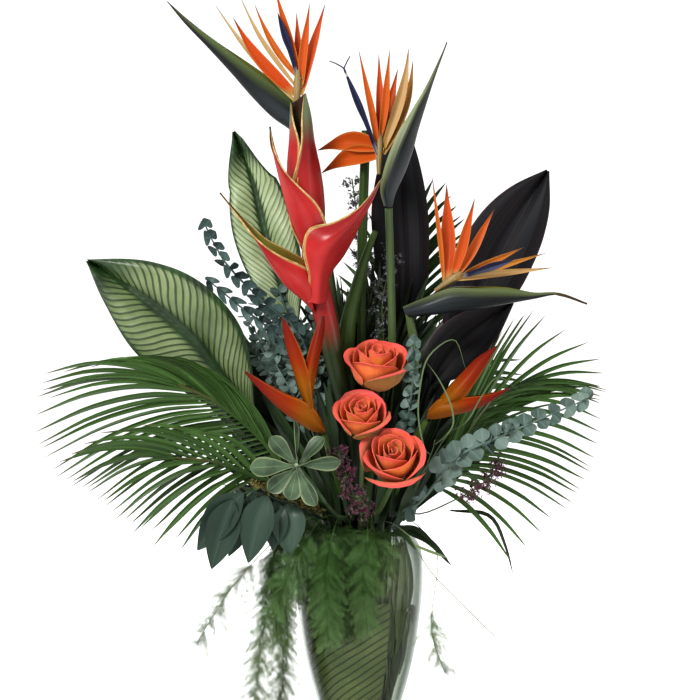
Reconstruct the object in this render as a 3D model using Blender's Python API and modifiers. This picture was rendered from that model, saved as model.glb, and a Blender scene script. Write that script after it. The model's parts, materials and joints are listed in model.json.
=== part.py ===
"""A tropical flower arrangement in a clear glass vase.

Frame: metres, +Z up, +X to the right and -Y to the front. The origin is the middle of the vase's
foot, on the surface that it stands on. Every stem runs from the water up through the neck, where it
has its own place in one of four rings, and fans out to its flower or leaf above.
"""
import math

import bmesh
import bpy
from mathutils import Matrix, Vector

MM = 0.001
GAP = 0.3 * MM                      # air between pieces that touch
SEAT = 1.6 * MM                     # from the end of a stem to a flower that leans on it at an angle

# Vase (radius, height) of the outer face, from the rim down to the foot
VASE_OUTER = [(47.5, 250), (48.5, 247), (57, 240), (64, 228.5), (67, 209), (66.3, 178), (62.5, 145),
              (57.5, 115), (51, 88), (44.5, 66), (38.5, 42), (37.5, 24), (46, 6)]
FOOT_RADIUS = 44.5                  # flat of the foot
WALL = 3.0                          # glass
FLOOR = 14.0                        # inside bottom of the vase
FLOOR_RADIUS = 28.0                 # flat part of the inside bottom
SHOULDER_Z = 225.0                  # above it the glass curves in, so its inside is lower as well as narrower
SHOULDER_DROP = 0.6                 # of the wall's thickness
VASE_STEPS = 24
WATER_LEVEL = 165.0
WATER_CLEARANCE = 1.4               # water to glass: room for the lining leaf
WATER_FLOOR_RADIUS = 26.0
STEM_CLEARANCE = 0.45               # water to stem
HOLE_ABOVE_WATER = 5.0              # each stem's hole runs out through the top of the water
HEXAGON = 1.16                      # corner of a hexagon round a circle of radius 1
LINING_THICKNESS = 0.7
LINING_TOP = 176.0
LINING_BOTTOM = 30.0
LINING_FIRST_STEP = 11              # of the vase's 24 steps, counted from +X
LINING_STEPS = 9

# Neck: rings of stems round one in the middle
NECK_Z = 246.0
STRAIGHT_ABOVE_NECK = 12.0          # clears the rim before a stem bends outwards
FOOT_SCALE = 0.85                   # the bundle of stems narrows to this at the bottom
BUNDLE_BOTTOM = 20.0
RING_RADIUS = {0: 0.0, 1: 8.0, 2: 20.5, 3: 32.0, 4: 39.5}
FOOT_OF_RING = {0: 180.0, 1: 22.0, 2: 30.0, 3: 48.0, 4: 110.0}      # height of the stems' cut ends

# Smooth lines
FINE_STEPS = 200                    # straight runs that stand in for a curve while it is measured
FINE_PLACES = 61                    # places from which a line is cut into its bare and its leafy part
PLAIN_PLACES = 3                    # places kept on the bare part

# Leaflets, petals and sprigs
LEAFLET_WIDTHS = (1.0, 0.9)         # of a palm leaflet, as shares of its width, before the tip
LEAFLET_TIP = 0.8
LEAFLET_THICKNESS = [0.9, 0.8, 0.5]
PETAL_SHARES = (0.35, 0.7, 1.0)     # where a petal is given a width, from its root to its tip
LEAF_SHARES = (0.3, 0.7, 1.0)
BIRD_PETAL = 12.0                   # width
FERN_WIDTH = 2.6
THIN_STEM = 1.3
BROAD_LEAF_THICKNESS = 0.8
GRASS_THICKNESS = 0.8
ROSE_SIDES = 14
BLADE_SIDES = 8

COLOURS = {
    "glass": (0.86, 0.9, 0.9), "water": (0.8, 0.88, 0.88), "dark_green": (0.05, 0.11, 0.04),
    "green": (0.12, 0.22, 0.06), "olive": (0.22, 0.28, 0.09), "grey_green": (0.16, 0.25, 0.22),
    "silver_green": (0.3, 0.38, 0.35), "sage": (0.32, 0.4, 0.24), "maroon": (0.03, 0.02, 0.025),
    "crimson": (0.55, 0.05, 0.06), "orange": (0.85, 0.25, 0.02), "parrot": (0.85, 0.2, 0.03),
    "coral": (0.85, 0.2, 0.1), "fern": (0.15, 0.32, 0.08), "spathe": (0.12, 0.18, 0.15),
    "burgundy": (0.2, 0.03, 0.09), "grey_lilac": (0.3, 0.3, 0.33),
}

UP = Vector((0, 0, 1))
FRONT = Vector((0, -1, 0))
parts = None
helpers = None


# ---------------------------------------------------------------- scene and materials

def clear_scene():
    for obj in list(bpy.data.objects):
        bpy.data.objects.remove(obj)


def collection(name):
    made = bpy.data.collections.new(name)
    bpy.context.scene.collection.children.link(made)
    return made


def finish(obj, colour, roughness=0.5, smooth=True):
    """Give a piece its own material, shade it and put it among the parts."""
    material = bpy.data.materials.new(obj.name)
    material.use_nodes = True
    shader = material.node_tree.nodes["Principled BSDF"]
    shader.inputs["Base Color"].default_value = (*COLOURS[colour], 1)
    shader.inputs["Roughness"].default_value = roughness
    shader.inputs["Metallic"].default_value = 0
    obj.data.materials.append(material)
    if smooth and obj.type == "MESH":
        obj.data.shade_smooth()
    parts.objects.link(obj)
    return obj


def point(x, y, z):
    return Vector((x, y, z)) * MM


def way(*places):
    """Points given in millimetres."""
    return [point(*place) for place in places]


# ---------------------------------------------------------------- smooth lines

def blend_at(points, t):
    """The place at t, 0 to 1, on a smooth line through all the points (Catmull-Rom)."""
    last = len(points) - 1
    position = min(max(t, 0.0), 1.0) * last
    i = min(int(position), last - 1)
    f = position - i
    before = points[i - 1] if i > 0 else 2 * points[0] - points[1]
    after = points[i + 2] if i + 2 <= last else 2 * points[last] - points[last - 1]
    return 0.5 * (2 * points[i] + (points[i + 1] - before) * f
                  + (2 * before - 5 * points[i] + 4 * points[i + 1] - after) * f ** 2
                  + (3 * points[i] - before - 3 * points[i + 1] + after) * f ** 3)


def smooth(points, count):
    """The line through the points, as count places spread evenly along its length."""
    fine = [blend_at(points, k / FINE_STEPS) for k in range(FINE_STEPS + 1)]
    lengths = [0.0]
    for a, b in zip(fine, fine[1:]):
        lengths.append(lengths[-1] + (b - a).length)
    places = []
    k = 0
    for n in range(count):
        wanted = lengths[-1] * n / (count - 1)
        while k < FINE_STEPS - 1 and lengths[k + 1] < wanted:
            k += 1
        span = max(lengths[k + 1] - lengths[k], 1e-9)
        places.append(fine[k].lerp(fine[k + 1], (wanted - lengths[k]) / span))
    return places


def parted(points, start):
    """The smooth line through the points in two parts, bare and leafy, that meet at start, 0 to 1."""
    fine = smooth(points, FINE_PLACES)
    first = int((FINE_PLACES - 1) * start)
    return fine[:first + 1], fine[first:]


def tangents(line):
    found = []
    for i in range(len(line)):
        a = line[max(i - 1, 0)]
        b = line[min(i + 1, len(line) - 1)]
        found.append((b - a).normalized())
    return found


def along(values, t):
    """A value read from an evenly spaced list at t, 0 to 1, by straight runs."""
    position = min(max(t, 0.0), 1.0) * (len(values) - 1)
    i = min(int(position), len(values) - 2)
    return values[i] + (values[i + 1] - values[i]) * (position - i)


# ---------------------------------------------------------------- the bundle of stems

def neck_place(ring, angle):
    """Where a stem passes the neck: the ring's radius at an angle, 0 at +X and -90 at the front."""
    turn = math.radians(angle)
    return Vector((math.cos(turn), math.sin(turn), 0)) * RING_RADIUS[ring]


def bundle(ring, angle, z):
    """A stem's place at a height inside the vase."""
    part_way = (z - BUNDLE_BOTTOM) / (NECK_Z - BUNDLE_BOTTOM)
    scale = FOOT_SCALE + (1 - FOOT_SCALE) * part_way
    place = neck_place(ring, angle) * scale
    place.z = z
    return place * MM


stem_holes = []


def rooted(ring, angle, above, radius):
    """The two parts of a stem's line: straight from its cut end to the neck, and through the points
    above. A stem that reaches the water also notes the hole that it needs there."""
    foot = bundle(ring, angle, FOOT_OF_RING[ring])
    neck = bundle(ring, angle, NECK_Z)
    rim = bundle(ring, angle, NECK_Z + STRAIGHT_ABOVE_NECK)
    if foot.z < WATER_LEVEL * MM:
        stem_holes.append((foot, bundle(ring, angle, WATER_LEVEL + HOLE_ABOVE_WATER), radius * MM))
    return [foot, neck], [rim] + above


# ---------------------------------------------------------------- kinds of piece

def stem(name, ring, angle, above, radius, colour, pieces=7, radii=None, sides=6):
    """A round stem: a poly curve with filled caps. radii, in mm, is spread along the part above the neck."""
    low, high = rooted(ring, angle, above, radius)
    line = low + smooth(high, pieces)
    curve = bpy.data.curves.new(name, "CURVE")
    curve.dimensions = "3D"
    curve.bevel_depth = MM
    curve.bevel_resolution = (sides - 4) // 2
    curve.use_fill_caps = True
    spline = curve.splines.new("POLY")
    spline.points.add(len(line) - 1)
    for i, place in enumerate(line):
        spline.points[i].co = (*place, 1)
        part_way = max(i - 2, 0) / (len(line) - 3)
        spline.points[i].radius = along(radii, part_way) if radii else radius
    return finish(bpy.data.objects.new(name, curve), colour, 0.45)


def new_mesh(name, bm):
    mesh = bpy.data.meshes.new(name)
    bmesh.ops.recalc_face_normals(bm, faces=bm.faces)
    bm.to_mesh(mesh)
    bm.free()
    return bpy.data.objects.new(name, mesh)


class Branch:
    """A rachis of square section, whose side faces are drawn out into leaflets, petals or seeds."""

    def __init__(self, line, radii, face_side):
        """face_side is the way that the first pair of leaflets points."""
        self.line = line
        self.tangents = tangents(line)
        self.bm = bmesh.new()
        self.across = []
        side = face_side
        rings = []
        for i, (place, tangent) in enumerate(zip(line, self.tangents)):
            side = (side - tangent * side.dot(tangent)).normalized()
            other = tangent.cross(side).normalized()
            self.across.append((side, other))
            radius = along(radii, i / (len(line) - 1)) * MM
            ring = []
            for k in range(4):
                turn = math.radians(45 + 90 * k)
                ring.append(self.bm.verts.new(
                    place + (side * math.cos(turn) + other * math.sin(turn)) * radius))
            rings.append(ring)
        self.faces = {}
        for i in range(len(line) - 1):
            for k in range(4):
                a, b = rings[i][k], rings[i][(k + 1) % 4]
                c, d = rings[i + 1][(k + 1) % 4], rings[i + 1][k]
                self.faces[i, k] = self.bm.faces.new((a, b, c, d))
        self.bm.faces.new(list(reversed(rings[0])))
        self.end = self.bm.faces.new(rings[-1])

    def side_of(self, i, k):
        """The way that side k of segment i faces. Sides 3 and 1 are the pair, 0 and 2 front and back."""
        side, other = self.across[i]
        return [other, -side, -other, side][k]

    def draw_out(self, face, spread, outward, places, widths, thicknesses, flat):
        """Extrude a face through the places. flat is the way that the flat of the leaflet looks."""
        corners = list(face.verts)
        before = places[0] - outward * MM
        first = max(range(4), key=lambda n: (corners[(n + 2) % 4].co - corners[(n + 1) % 4].co).dot(spread))
        corners = corners[first:] + corners[:first]
        hand = 1 if spread.cross(corners[1].co - corners[0].co).dot(outward) > 0 else -1
        order = [face.verts[:].index(v) for v in corners]
        for n, place in enumerate(places):
            ahead = places[n + 1] if n + 1 < len(places) else place
            direction = (ahead - before).normalized()
            width = flat.cross(direction).normalized()
            carried = outward.rotation_difference(direction) @ spread
            if width.dot(carried) < 0:
                width = -width
            depth = direction.cross(width) * hand
            face = bmesh.ops.extrude_discrete_faces(self.bm, faces=[face])["faces"][0]
            signs = [(-1, -1), (-1, 1), (1, 1), (1, -1)]
            for (w, d), index in zip(signs, order):
                face.verts[index].co = (place + width * w * widths[n] * MM / 2
                                        + depth * d * thicknesses[n] * MM / 2)
            before = place
        return face

    def leaflet(self, i, k, places, widths, thicknesses, flat):
        outward = self.side_of(i, k)
        self.draw_out(self.faces[i, k], self.tangents[i], outward, places, widths, thicknesses, flat)

    def made(self, name, colour, roughness=0.5):
        return finish(new_mesh(name, self.bm), colour, roughness, smooth=False)


def arched(root, tip, rise):
    """Three places from just off the root to the tip, on a line that rises by rise mm in the middle."""
    middle = (root + tip) / 2 + UP * (2 * rise * MM)
    return [root * (1 - f) ** 2 + middle * 2 * f * (1 - f) + tip * f ** 2 for f in (1 / 3, 2 / 3, 1)]


def frond(name, ring, angle, above, sides, count, width, radius=2.4, rise=14, start=0.3, flat=FRONT,
          face=Vector((-1, 0, 0))):
    """A palm frond. sides is two lists of tips, each in order from the frond's tip to its base; start is
    how far along the part above the neck the leaflets begin."""
    low, high = rooted(ring, angle, above, radius)
    bare, leafy = parted(high, start)
    line = low + smooth(bare, PLAIN_PLACES) + smooth(leafy, count + 1)[1:]
    branch = Branch(line, [radius, radius, radius * 0.45], face)
    widths = [width * share for share in LEAFLET_WIDTHS] + [LEAFLET_TIP]
    i = len(line) - 2 - count // 2
    reach = blend_at(sides[0], 0.5) - line[i]
    first = max((1, 3), key=lambda k: branch.side_of(i, k).dot(reach))
    for side, tips in zip((first, 4 - first), sides):
        for n in range(count):
            i = len(line) - 2 - n
            tip = blend_at(tips, n / (count - 1))
            root = (line[i] + line[i + 1]) / 2
            branch.leaflet(i, side, arched(root, tip, rise), widths, LEAFLET_THICKNESS, flat)
    return branch.made(name, "dark_green")


def sprig(name, ring, angle, above, count, leaf, reach, start=0.4, radius=1.5, colour="silver_green",
          face=UP, forward=0.35, taper=0.5, spin=False, thickness=0.8, shares=(0.45, 1.0)):
    """A sprig with pairs of small leaves: leaf is their width and reach their length, in mm, at the
    lowest pair; both shrink by taper towards the tip."""
    low, high = rooted(ring, angle, above, radius)
    bare, leafy = parted(high, start)
    line = low + smooth(bare, PLAIN_PLACES) + smooth(leafy, count + 1)[1:]
    branch = Branch(line, [radius, radius * 0.9, radius * 0.5], face)
    lowest = len(line) - 1 - count
    for n in range(count):
        i = lowest + n
        size = 1 - (1 - taper) * n / (count - 1)
        sides = (0, 2) if spin and n % 2 else (1, 3)
        for k in sides:
            root = (line[i] + line[i + 1]) / 2
            out = (branch.side_of(i, k) + branch.tangents[i] * forward).normalized()
            length = reach * size * MM
            places = [root + out * length * share for share in shares]
            plane = FRONT if k in (1, 3) else branch.across[i][0]
            widths = [leaf * size, leaf * size * 0.45][-len(shares):]
            branch.leaflet(i, k, places, widths, [thickness] * len(shares), plane)
    return branch.made(name, colour)


def loft(name, rings, colour):
    """A closed solid through rings of points, with flat ends."""
    bm = bmesh.new()
    made = [[bm.verts.new(place) for place in ring] for ring in rings]
    count = len(rings[0])
    for low, high in zip(made, made[1:]):
        for k in range(count):
            bm.faces.new((low[k], low[(k + 1) % count], high[(k + 1) % count], high[k]))
    bm.faces.new(list(reversed(made[0])))
    bm.faces.new(made[-1])
    return finish(new_mesh(name, bm), colour, 0.45)


def blade(name, points, widths, depths, colour, rings, keel=0.0):
    """A tapering solid along a line, such as a spathe or a bract, with its broad side to the front.
    keel moves the thickest part of the section towards the underside."""
    line = smooth(points, rings)
    ways = tangents(line)
    found = []
    for i, (place, tangent) in enumerate(zip(line, ways)):
        t = i / (rings - 1)
        wide = along(widths, t) * MM / 2
        deep = along(depths, t) * MM / 2
        across = tangent.cross(FRONT).normalized()
        out = across.cross(tangent).normalized()
        ring = []
        for k in range(BLADE_SIDES):
            turn = 2 * math.pi * k / BLADE_SIDES
            x = math.cos(turn)
            y = math.sin(turn) * (1 - keel * x)
            ring.append(place + across * x * wide + out * y * deep)
        found.append(ring)
    return loft(name, found, colour)


def broad_leaf(name, ring, angle, above, points, widths, colour, radius, rows=9):
    """A broad leaf on its own stalk: the end of the stalk is drawn out into the blade."""
    low, high = rooted(ring, angle, above, radius)
    branch = Branch(low + smooth(high, 7), [radius, radius, radius * 0.8], FRONT)
    line = smooth(points, rows)
    wide = [along(widths, i / (rows - 1)) for i in range(rows)]
    tangent = branch.tangents[-1]
    side = FRONT - tangent * FRONT.dot(tangent)
    branch.draw_out(branch.end, tangent.cross(side).normalized(), tangent, line, wide,
                    [2.0] + [BROAD_LEAF_THICKNESS] * (rows - 1), FRONT)
    return branch.made(name, colour)


def turned(name, profile, steps, colour, roughness=0.1, angle=2 * math.pi, first=0.0, closed=True):
    """A solid turned round the Z axis. profile holds (radius, height) in mm, down its outer side first."""
    mesh = bpy.data.meshes.new(name)
    verts = [(radius * MM, 0, z * MM) for radius, z in profile]
    mesh.from_pydata(verts, [(i, i + 1) for i in range(len(verts) - 1)], [])
    obj = bpy.data.objects.new(name, mesh)
    obj.rotation_euler.z = first
    screw = obj.modifiers.new("Turn", "SCREW")
    screw.angle = angle
    screw.steps = screw.render_steps = steps
    screw.use_merge_vertices = closed
    screw.merge_threshold = 0.00005
    screw.use_smooth_shade = True
    return finish(obj, colour, roughness)


# ---------------------------------------------------------------- vase, lining leaf and water

def inner_wall(offset):
    """(radius, height) down the inside of the glass, offset mm further in."""
    found = []
    for radius, z in VASE_OUTER[1:-1]:
        shift = WALL + offset
        found.append((radius - shift, z - (SHOULDER_DROP * shift if z > SHOULDER_Z else 0)))
    return found


def make_vase():
    inside = [(VASE_OUTER[0][0] - WALL, VASE_OUTER[0][1])] + inner_wall(0)
    bottom = [(FLOOR_RADIUS, FLOOR), (0, FLOOR)]
    profile = list(reversed(bottom)) + list(reversed(inside)) + VASE_OUTER + [(FOOT_RADIUS, 0), (0, 0)]
    return turned("vase", profile, VASE_STEPS, "glass", 0.05)


def between(profile, low, high):
    """The part of a wall between two heights, cut off level at both."""
    def cut(z):
        for (r1, z1), (r2, z2) in zip(profile, profile[1:]):
            if z2 <= z <= z1:
                return (r2 + (r1 - r2) * (z - z2) / (z1 - z2), z)
        return profile[-1]
    middle = [p for p in profile if low < p[1] < high]
    return [cut(high)] + middle + [cut(low)]


def make_lining():
    """One leaf rolled inside the glass, over the left and the middle of the front."""
    wall = between(inner_wall(GAP / MM), LINING_BOTTOM, LINING_TOP)
    step = 2 * math.pi / VASE_STEPS
    lining = turned("lining_leaf", wall, LINING_STEPS, "olive", 0.4, step * LINING_STEPS,
                    step * LINING_FIRST_STEP, closed=False)
    solid = lining.modifiers.new("Thickness", "SOLIDIFY")
    solid.thickness = LINING_THICKNESS * MM
    solid.offset = -1
    return lining


def make_water():
    """The water, with a hole for each stem that reaches it."""
    wall = between(inner_wall(WATER_CLEARANCE), LINING_BOTTOM, WATER_LEVEL)
    profile = [(0, WATER_LEVEL)] + wall + [(WATER_FLOOR_RADIUS, FLOOR + GAP / MM), (0, FLOOR + GAP / MM)]
    water = turned("vase_water", profile, VASE_STEPS, "water", 0.02)
    bm = bmesh.new()
    for low, high, radius in stem_holes:
        axis = high - low
        turn = UP.rotation_difference(axis).to_matrix().to_4x4()
        middle = low + axis / 2 - axis.normalized() * STEM_CLEARANCE * MM / 2
        wide = radius * HEXAGON + STEM_CLEARANCE * MM
        bmesh.ops.create_cone(
            bm, cap_ends=True, segments=6, depth=axis.length + STEM_CLEARANCE * MM, radius1=wide,
            radius2=wide,
            matrix=Matrix.Translation(middle) @ turn)
    mesh = bpy.data.meshes.new("stem_holes")
    bm.to_mesh(mesh)
    bm.free()
    cutter = bpy.data.objects.new("stem_holes", mesh)
    cutter.hide_render = True
    cutter.display_type = "WIRE"
    helpers.objects.link(cutter)
    cut = water.modifiers.new("Stem holes", "BOOLEAN")
    cut.operation = "DIFFERENCE"
    cut.object = cutter
    cut.use_self = True             # neighbouring holes may run into each other
    return water


# ---------------------------------------------------------------- birds of paradise

def petals(branch, tips):
    """Draw a sepal out of one side face for each (segment, side, tip, share of the full width)."""
    for i, k, tip, share in tips:
        root = (branch.line[i] + branch.line[i + 1]) / 2
        line = [root.lerp(tip, f) for f in PETAL_SHARES]
        wide = BIRD_PETAL * share
        branch.leaflet(i, k, line, [wide, wide * 0.75, 0.8], [2.0, 1.4, 0.5], FRONT)


def make_bird(name, spathe, widths, depths, base, sepals, side):
    """The spathe and the flowers of a bird of paradise. base is the line of the flowers' shared foot."""
    blade(name + "_spathe", spathe, widths, depths, "spathe", rings=9, keel=0.3)
    branch = Branch(smooth(base, 5), [3.2, 3.6, 3.0], side)
    petals(branch, sepals)
    branch.made(name + "_flowers", "orange", 0.4)


def make_birds():
    stem("bird_1_stem", 2, 110, way((-12, 22, 330), (-22, 26, 450), (-42, 24, 580), (-55, 10, 652)), 4.8,
         "grey_green", radii=[4.8, 4.8, 4.5], pieces=9)
    make_bird("bird_1",
              way((-56, 8.5, 653), (-66, 6, 684), (-92, 0, 706), (-130, -5, 739), (-166, -10, 768),
                  (-199, -15, 797)),
              [9, 34, 30, 19, 9, 1.5], [9, 20, 17, 10, 5, 1.5],
              way((-62.6, -6.6, 690), (-63.6, -8.6, 700), (-63, -9, 710), (-62, -9, 722)),
              [(0, 1, point(-150, -8, 795), 0.6), (1, 1, point(-131, -18, 781), 1.0),
               (2, 1, point(-125, 0, 806), 0.6),
               (3, 1, point(-85, -18, 786), 0.7), (3, 0, point(-88, -12, 812), 0.9),
               (1, 3, point(-36, -2, 797), 1.0),
               (2, 3, point(-52, -12, 796), 0.9), (3, 3, point(-66, 8, 789), 0.7),
               (3, 2, point(-110, 6, 798), 0.8)],
              side=Vector((1, 0, 0)))

    stem("bird_2_stem", 2, 30, way((28, 6, 350), (34, 0, 425), (33, -12, 500), (30, -25, 585)), 4.8,
         "grey_green", radii=[4.8, 4.8, 4.6], pieces=9)
    make_bird("bird_2",
              way((30, -25, 586), (32, -26, 613), (43, -26, 644), (62, -30, 690), (79, -32, 726),
                  (91, -35, 755)),
              [10, 22, 27, 20, 9, 1.5], [10, 16, 17, 13, 7, 1.5],
              way((23.2, -24, 630), (22, -23, 638), (22.5, -22, 647), (23.5, -20, 656)),
              [(0, 1, point(-16, -42, 726), 0.55), (1, 1, point(-1, -25, 747), 0.9),
               (2, 1, point(20, -8, 744), 0.9),
               (3, 1, point(31, -26, 747), 0.7), (3, 3, point(40, 2, 730), 0.9),
               (2, 3, point(51, -8, 750), 0.8),
               (1, 3, point(56, 6, 739), 0.7), (2, 2, point(-44, 22, 646), 0.8),
               (1, 2, point(-40, 22, 622), 0.8)],
              side=Vector((1, 0, 0)))

    stem("bird_3_stem", 2, -10, way((38, -8, 330), (54, -14, 390), (58, -26, 440), (49, -48, 474)), 4.8,
         "grey_green", radii=[4.8, 4.8, 4.6], pieces=8)
    make_bird("bird_3",
              way((51, -51, 479), (69, -56, 486), (103, -60, 488), (143, -62, 493), (177, -64, 495),
                  (207, -66, 496), (232, -66, 485)),
              [10, 22, 29, 28, 19, 7, 1.5], [10, 16, 18, 15, 10, 5, 1.5],
              way((86, -58, 501.1), (91, -59, 506), (96, -60, 509), (102, -60, 513)),
              [(0, 1, point(74, -64, 614), 0.5), (1, 1, point(89, -50, 607), 1.2),
               (2, 1, point(117, -66, 592), 0.9),
               (3, 1, point(138, -50, 582), 0.8), (3, 3, point(197, -58, 522), 0.9),
               (3, 0, point(156, -76, 530), 0.8),
               (3, 2, point(169, -40, 543), 0.8), (2, 2, point(191, -48, 537), 0.8)],
              side=Vector((0.3, 0, -1)))


# ---------------------------------------------------------------- heliconias

def make_heliconia():
    stem("heliconia_stem", 1, -90, way((-8, -18, 340), (-25, -28, 420), (-29, -30, 447), (-38, -33, 478),
                                       (-46, -34, 520),
                                       (-53, -31, 553)), 5.5, "crimson",
         radii=[5.5, 5.8, 6.2, 9, 9, 8], pieces=11, sides=8)
    blade("heliconia_bract_top", way((-53.5, -31, 554.2), (-56, -28, 590), (-56, -25, 640), (-56, -26, 703)),
          [14, 42, 30, 3], [12, 24, 18, 3], "crimson", rings=8)
    blade("heliconia_bract_left", way((-62.6, -35, 537), (-71, -48, 575), (-83, -56, 628), (-92, -58, 666)),
          [8, 32, 17, 2], [8, 20, 13, 2], "crimson", rings=8)
    blade("heliconia_bract_right", way((-33.9, -41.6, 508), (-20, -50, 536), (2, -56, 574), (24, -58, 612)),
          [10, 42, 26, 2], [10, 24, 18, 2], "crimson", rings=8)
    blade("heliconia_bract_low", way((-53.9, -39.8, 500), (-80, -52, 522), (-108, -58, 556),
                                     (-142, -64, 596)),
          [12, 38, 22, 2], [12, 20, 14, 2], "crimson", rings=8)


def make_parrot(name, ring, angle, above, base, bracts, side):
    stem(name + "_stem", ring, angle, above, 2.6, "olive", radii=[2.6, 2.8, 3.2], pieces=7)
    base = [above[-1] + (above[-1] - above[-2]).normalized() * SEAT] + base
    branch = Branch(smooth(base, 5), [3.4, 6.0, 5.0], side)
    for i, k, places, widths in bracts:
        branch.leaflet(i, k, smooth(places, 4)[1:], widths, [9, 7, 1.0], FRONT)
    branch.made(name + "_flower", "parrot", 0.4)


def make_parrots():
    make_parrot("parrot_left", 2, 230, way((-20, -34, 290), (-32, -76, 335), (-36, -90, 354)),
                way((-42, -95, 375), (-48, -97, 392), (-50, -98, 402)),
                [(1, 1, way((-47, -96, 382), (-80, -101, 396), (-115, -104, 421)), [17, 12, 1.5]),
                 (3, 1, way((-52, -98, 404), (-66, -99, 440), (-77, -100, 474)), [17, 12, 1.5]),
                 (3, 3, way((-48, -97, 404), (-41, -95, 440), (-37, -92, 473)), [14, 10, 1.5])],
                Vector((1, 0, 0.3)))
    make_parrot("parrot_right", 3, -22.5, way((38, -34, 290), (58, -74, 348), (68, -86, 367)),
                way((78, -91, 376), (88, -93, 382), (98, -94, 386)),
                [(1, 1, way((86, -91, 384), (112, -95, 414), (138, -98, 443)), [19, 15, 1.5]),
                 (3, 3, way((100, -94, 386), (126, -97, 392), (153, -100, 404)), [15, 11, 1.5])],
                Vector((0.3, 0, -1)))


# ---------------------------------------------------------------- roses

BLOOM = [(0, 40), (7, 42), (10, 37.5), (15, 41), (19, 36), (24, 38), (28, 31.5), (33.5, 33), (32, 22),
         (25, 11), (13, 3.5), (5, 0), (0, 0)]


def make_rose(number, ring, angle, above, facing, size):
    base = above[-1]
    stem(f"rose_{number}_stem", ring, angle, above, 2.7, "green", pieces=7)
    direction = Vector(facing).normalized()
    profile = [(radius * size, z * size) for radius, z in BLOOM]
    bloom = turned(f"rose_{number}_bloom", profile, ROSE_SIDES, "coral", 0.6)
    bloom.location = base + direction * SEAT
    bloom.rotation_mode = "QUATERNION"
    bloom.rotation_quaternion = UP.rotation_difference(direction)


def make_roses():
    make_rose(1, 2, -50, way((17, -22, 330), (18, -28, 370), (18, -30, 395)), (0, -0.42, 0.9), 0.97)
    make_rose(2, 2, -90, way((2, -38, 300), (3, -54, 335), (3, -58, 352)), (-0.05, -0.72, 0.72), 0.92)
    make_rose(3, 3, -67.5, way((24, -46, 278), (34, -66, 302), (37, -72, 310)), (-0.05, -0.92, 0.4), 1.0)


# ---------------------------------------------------------------- stalks and broad leaves

def make_stalks():
    stem("green_stalk_slim", 1, 30, way((4, 14, 350), (2, 18, 450), (3, 14, 560), (7, 12, 668)), 4.8, "olive",
         radii=[4.8, 4.8, 5.2, 5.4, 5.0], pieces=8, sides=8)
    stem("green_stalk_thick", 1, 150, way((-13, 2, 340), (-15, 0, 441), (-2, -6, 505), (12, -12, 552),
                                          (17, -14, 561)), 5.0, "olive",
         radii=[5.0, 7.0, 11.5, 10.0, 6.5, 3.0], pieces=11, sides=8)


def make_leaves():
    broad_leaf("variegated_leaf_upper", 2, 150, way((-34, 10, 330), (-58, 8, 430), (-66, 8, 455)),
               way((-67, 8, 459), (-77, 12, 484), (-99, 22, 555), (-114, 28, 615), (-133, 30, 666)),
               [6, 44, 62, 66, 60, 36, 3], "sage", 2.6)
    broad_leaf("variegated_leaf_left", 3, 180, way((-52, -3, 290), (-92, -10, 345), (-110, -12, 367)),
               way((-112, -12, 371), (-145, -14, 411), (-174, -14, 447), (-224, -10, 489), (-284, 0, 529)),
               [6, 66, 96, 102, 92, 56, 3], "sage", 2.6)
    broad_leaf("ti_leaf_centre", 2, 70, way((22, 32, 330), (36, 46, 410), (41, 50, 440)),
               way((41, 50, 444), (46, 56, 509), (43, 62, 595), (44, 62, 686)),
               [5, 50, 60, 61, 44, 4], "maroon", 2.2, rows=8)
    broad_leaf("ti_leaf_right", 3, 45, way((46, 26, 310), (84, 26, 396), (94, 25, 420)),
               way((96, 25, 424), (117, 30, 477), (155, 36, 552), (200, 40, 625)),
               [5, 56, 76, 78, 62, 4], "maroon", 2.2, rows=8)
    broad_leaf("ti_leaf_low", 3, 22.5, way((40, 12, 300), (66, 6, 370), (73, 5, 395)),
               way((75, 5, 399), (95, 7, 430), (127, 8, 459), (161, 8, 486)),
               [5, 48, 58, 52, 30, 4], "maroon", 2.2, rows=7)


# ---------------------------------------------------------------- palm fronds

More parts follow.
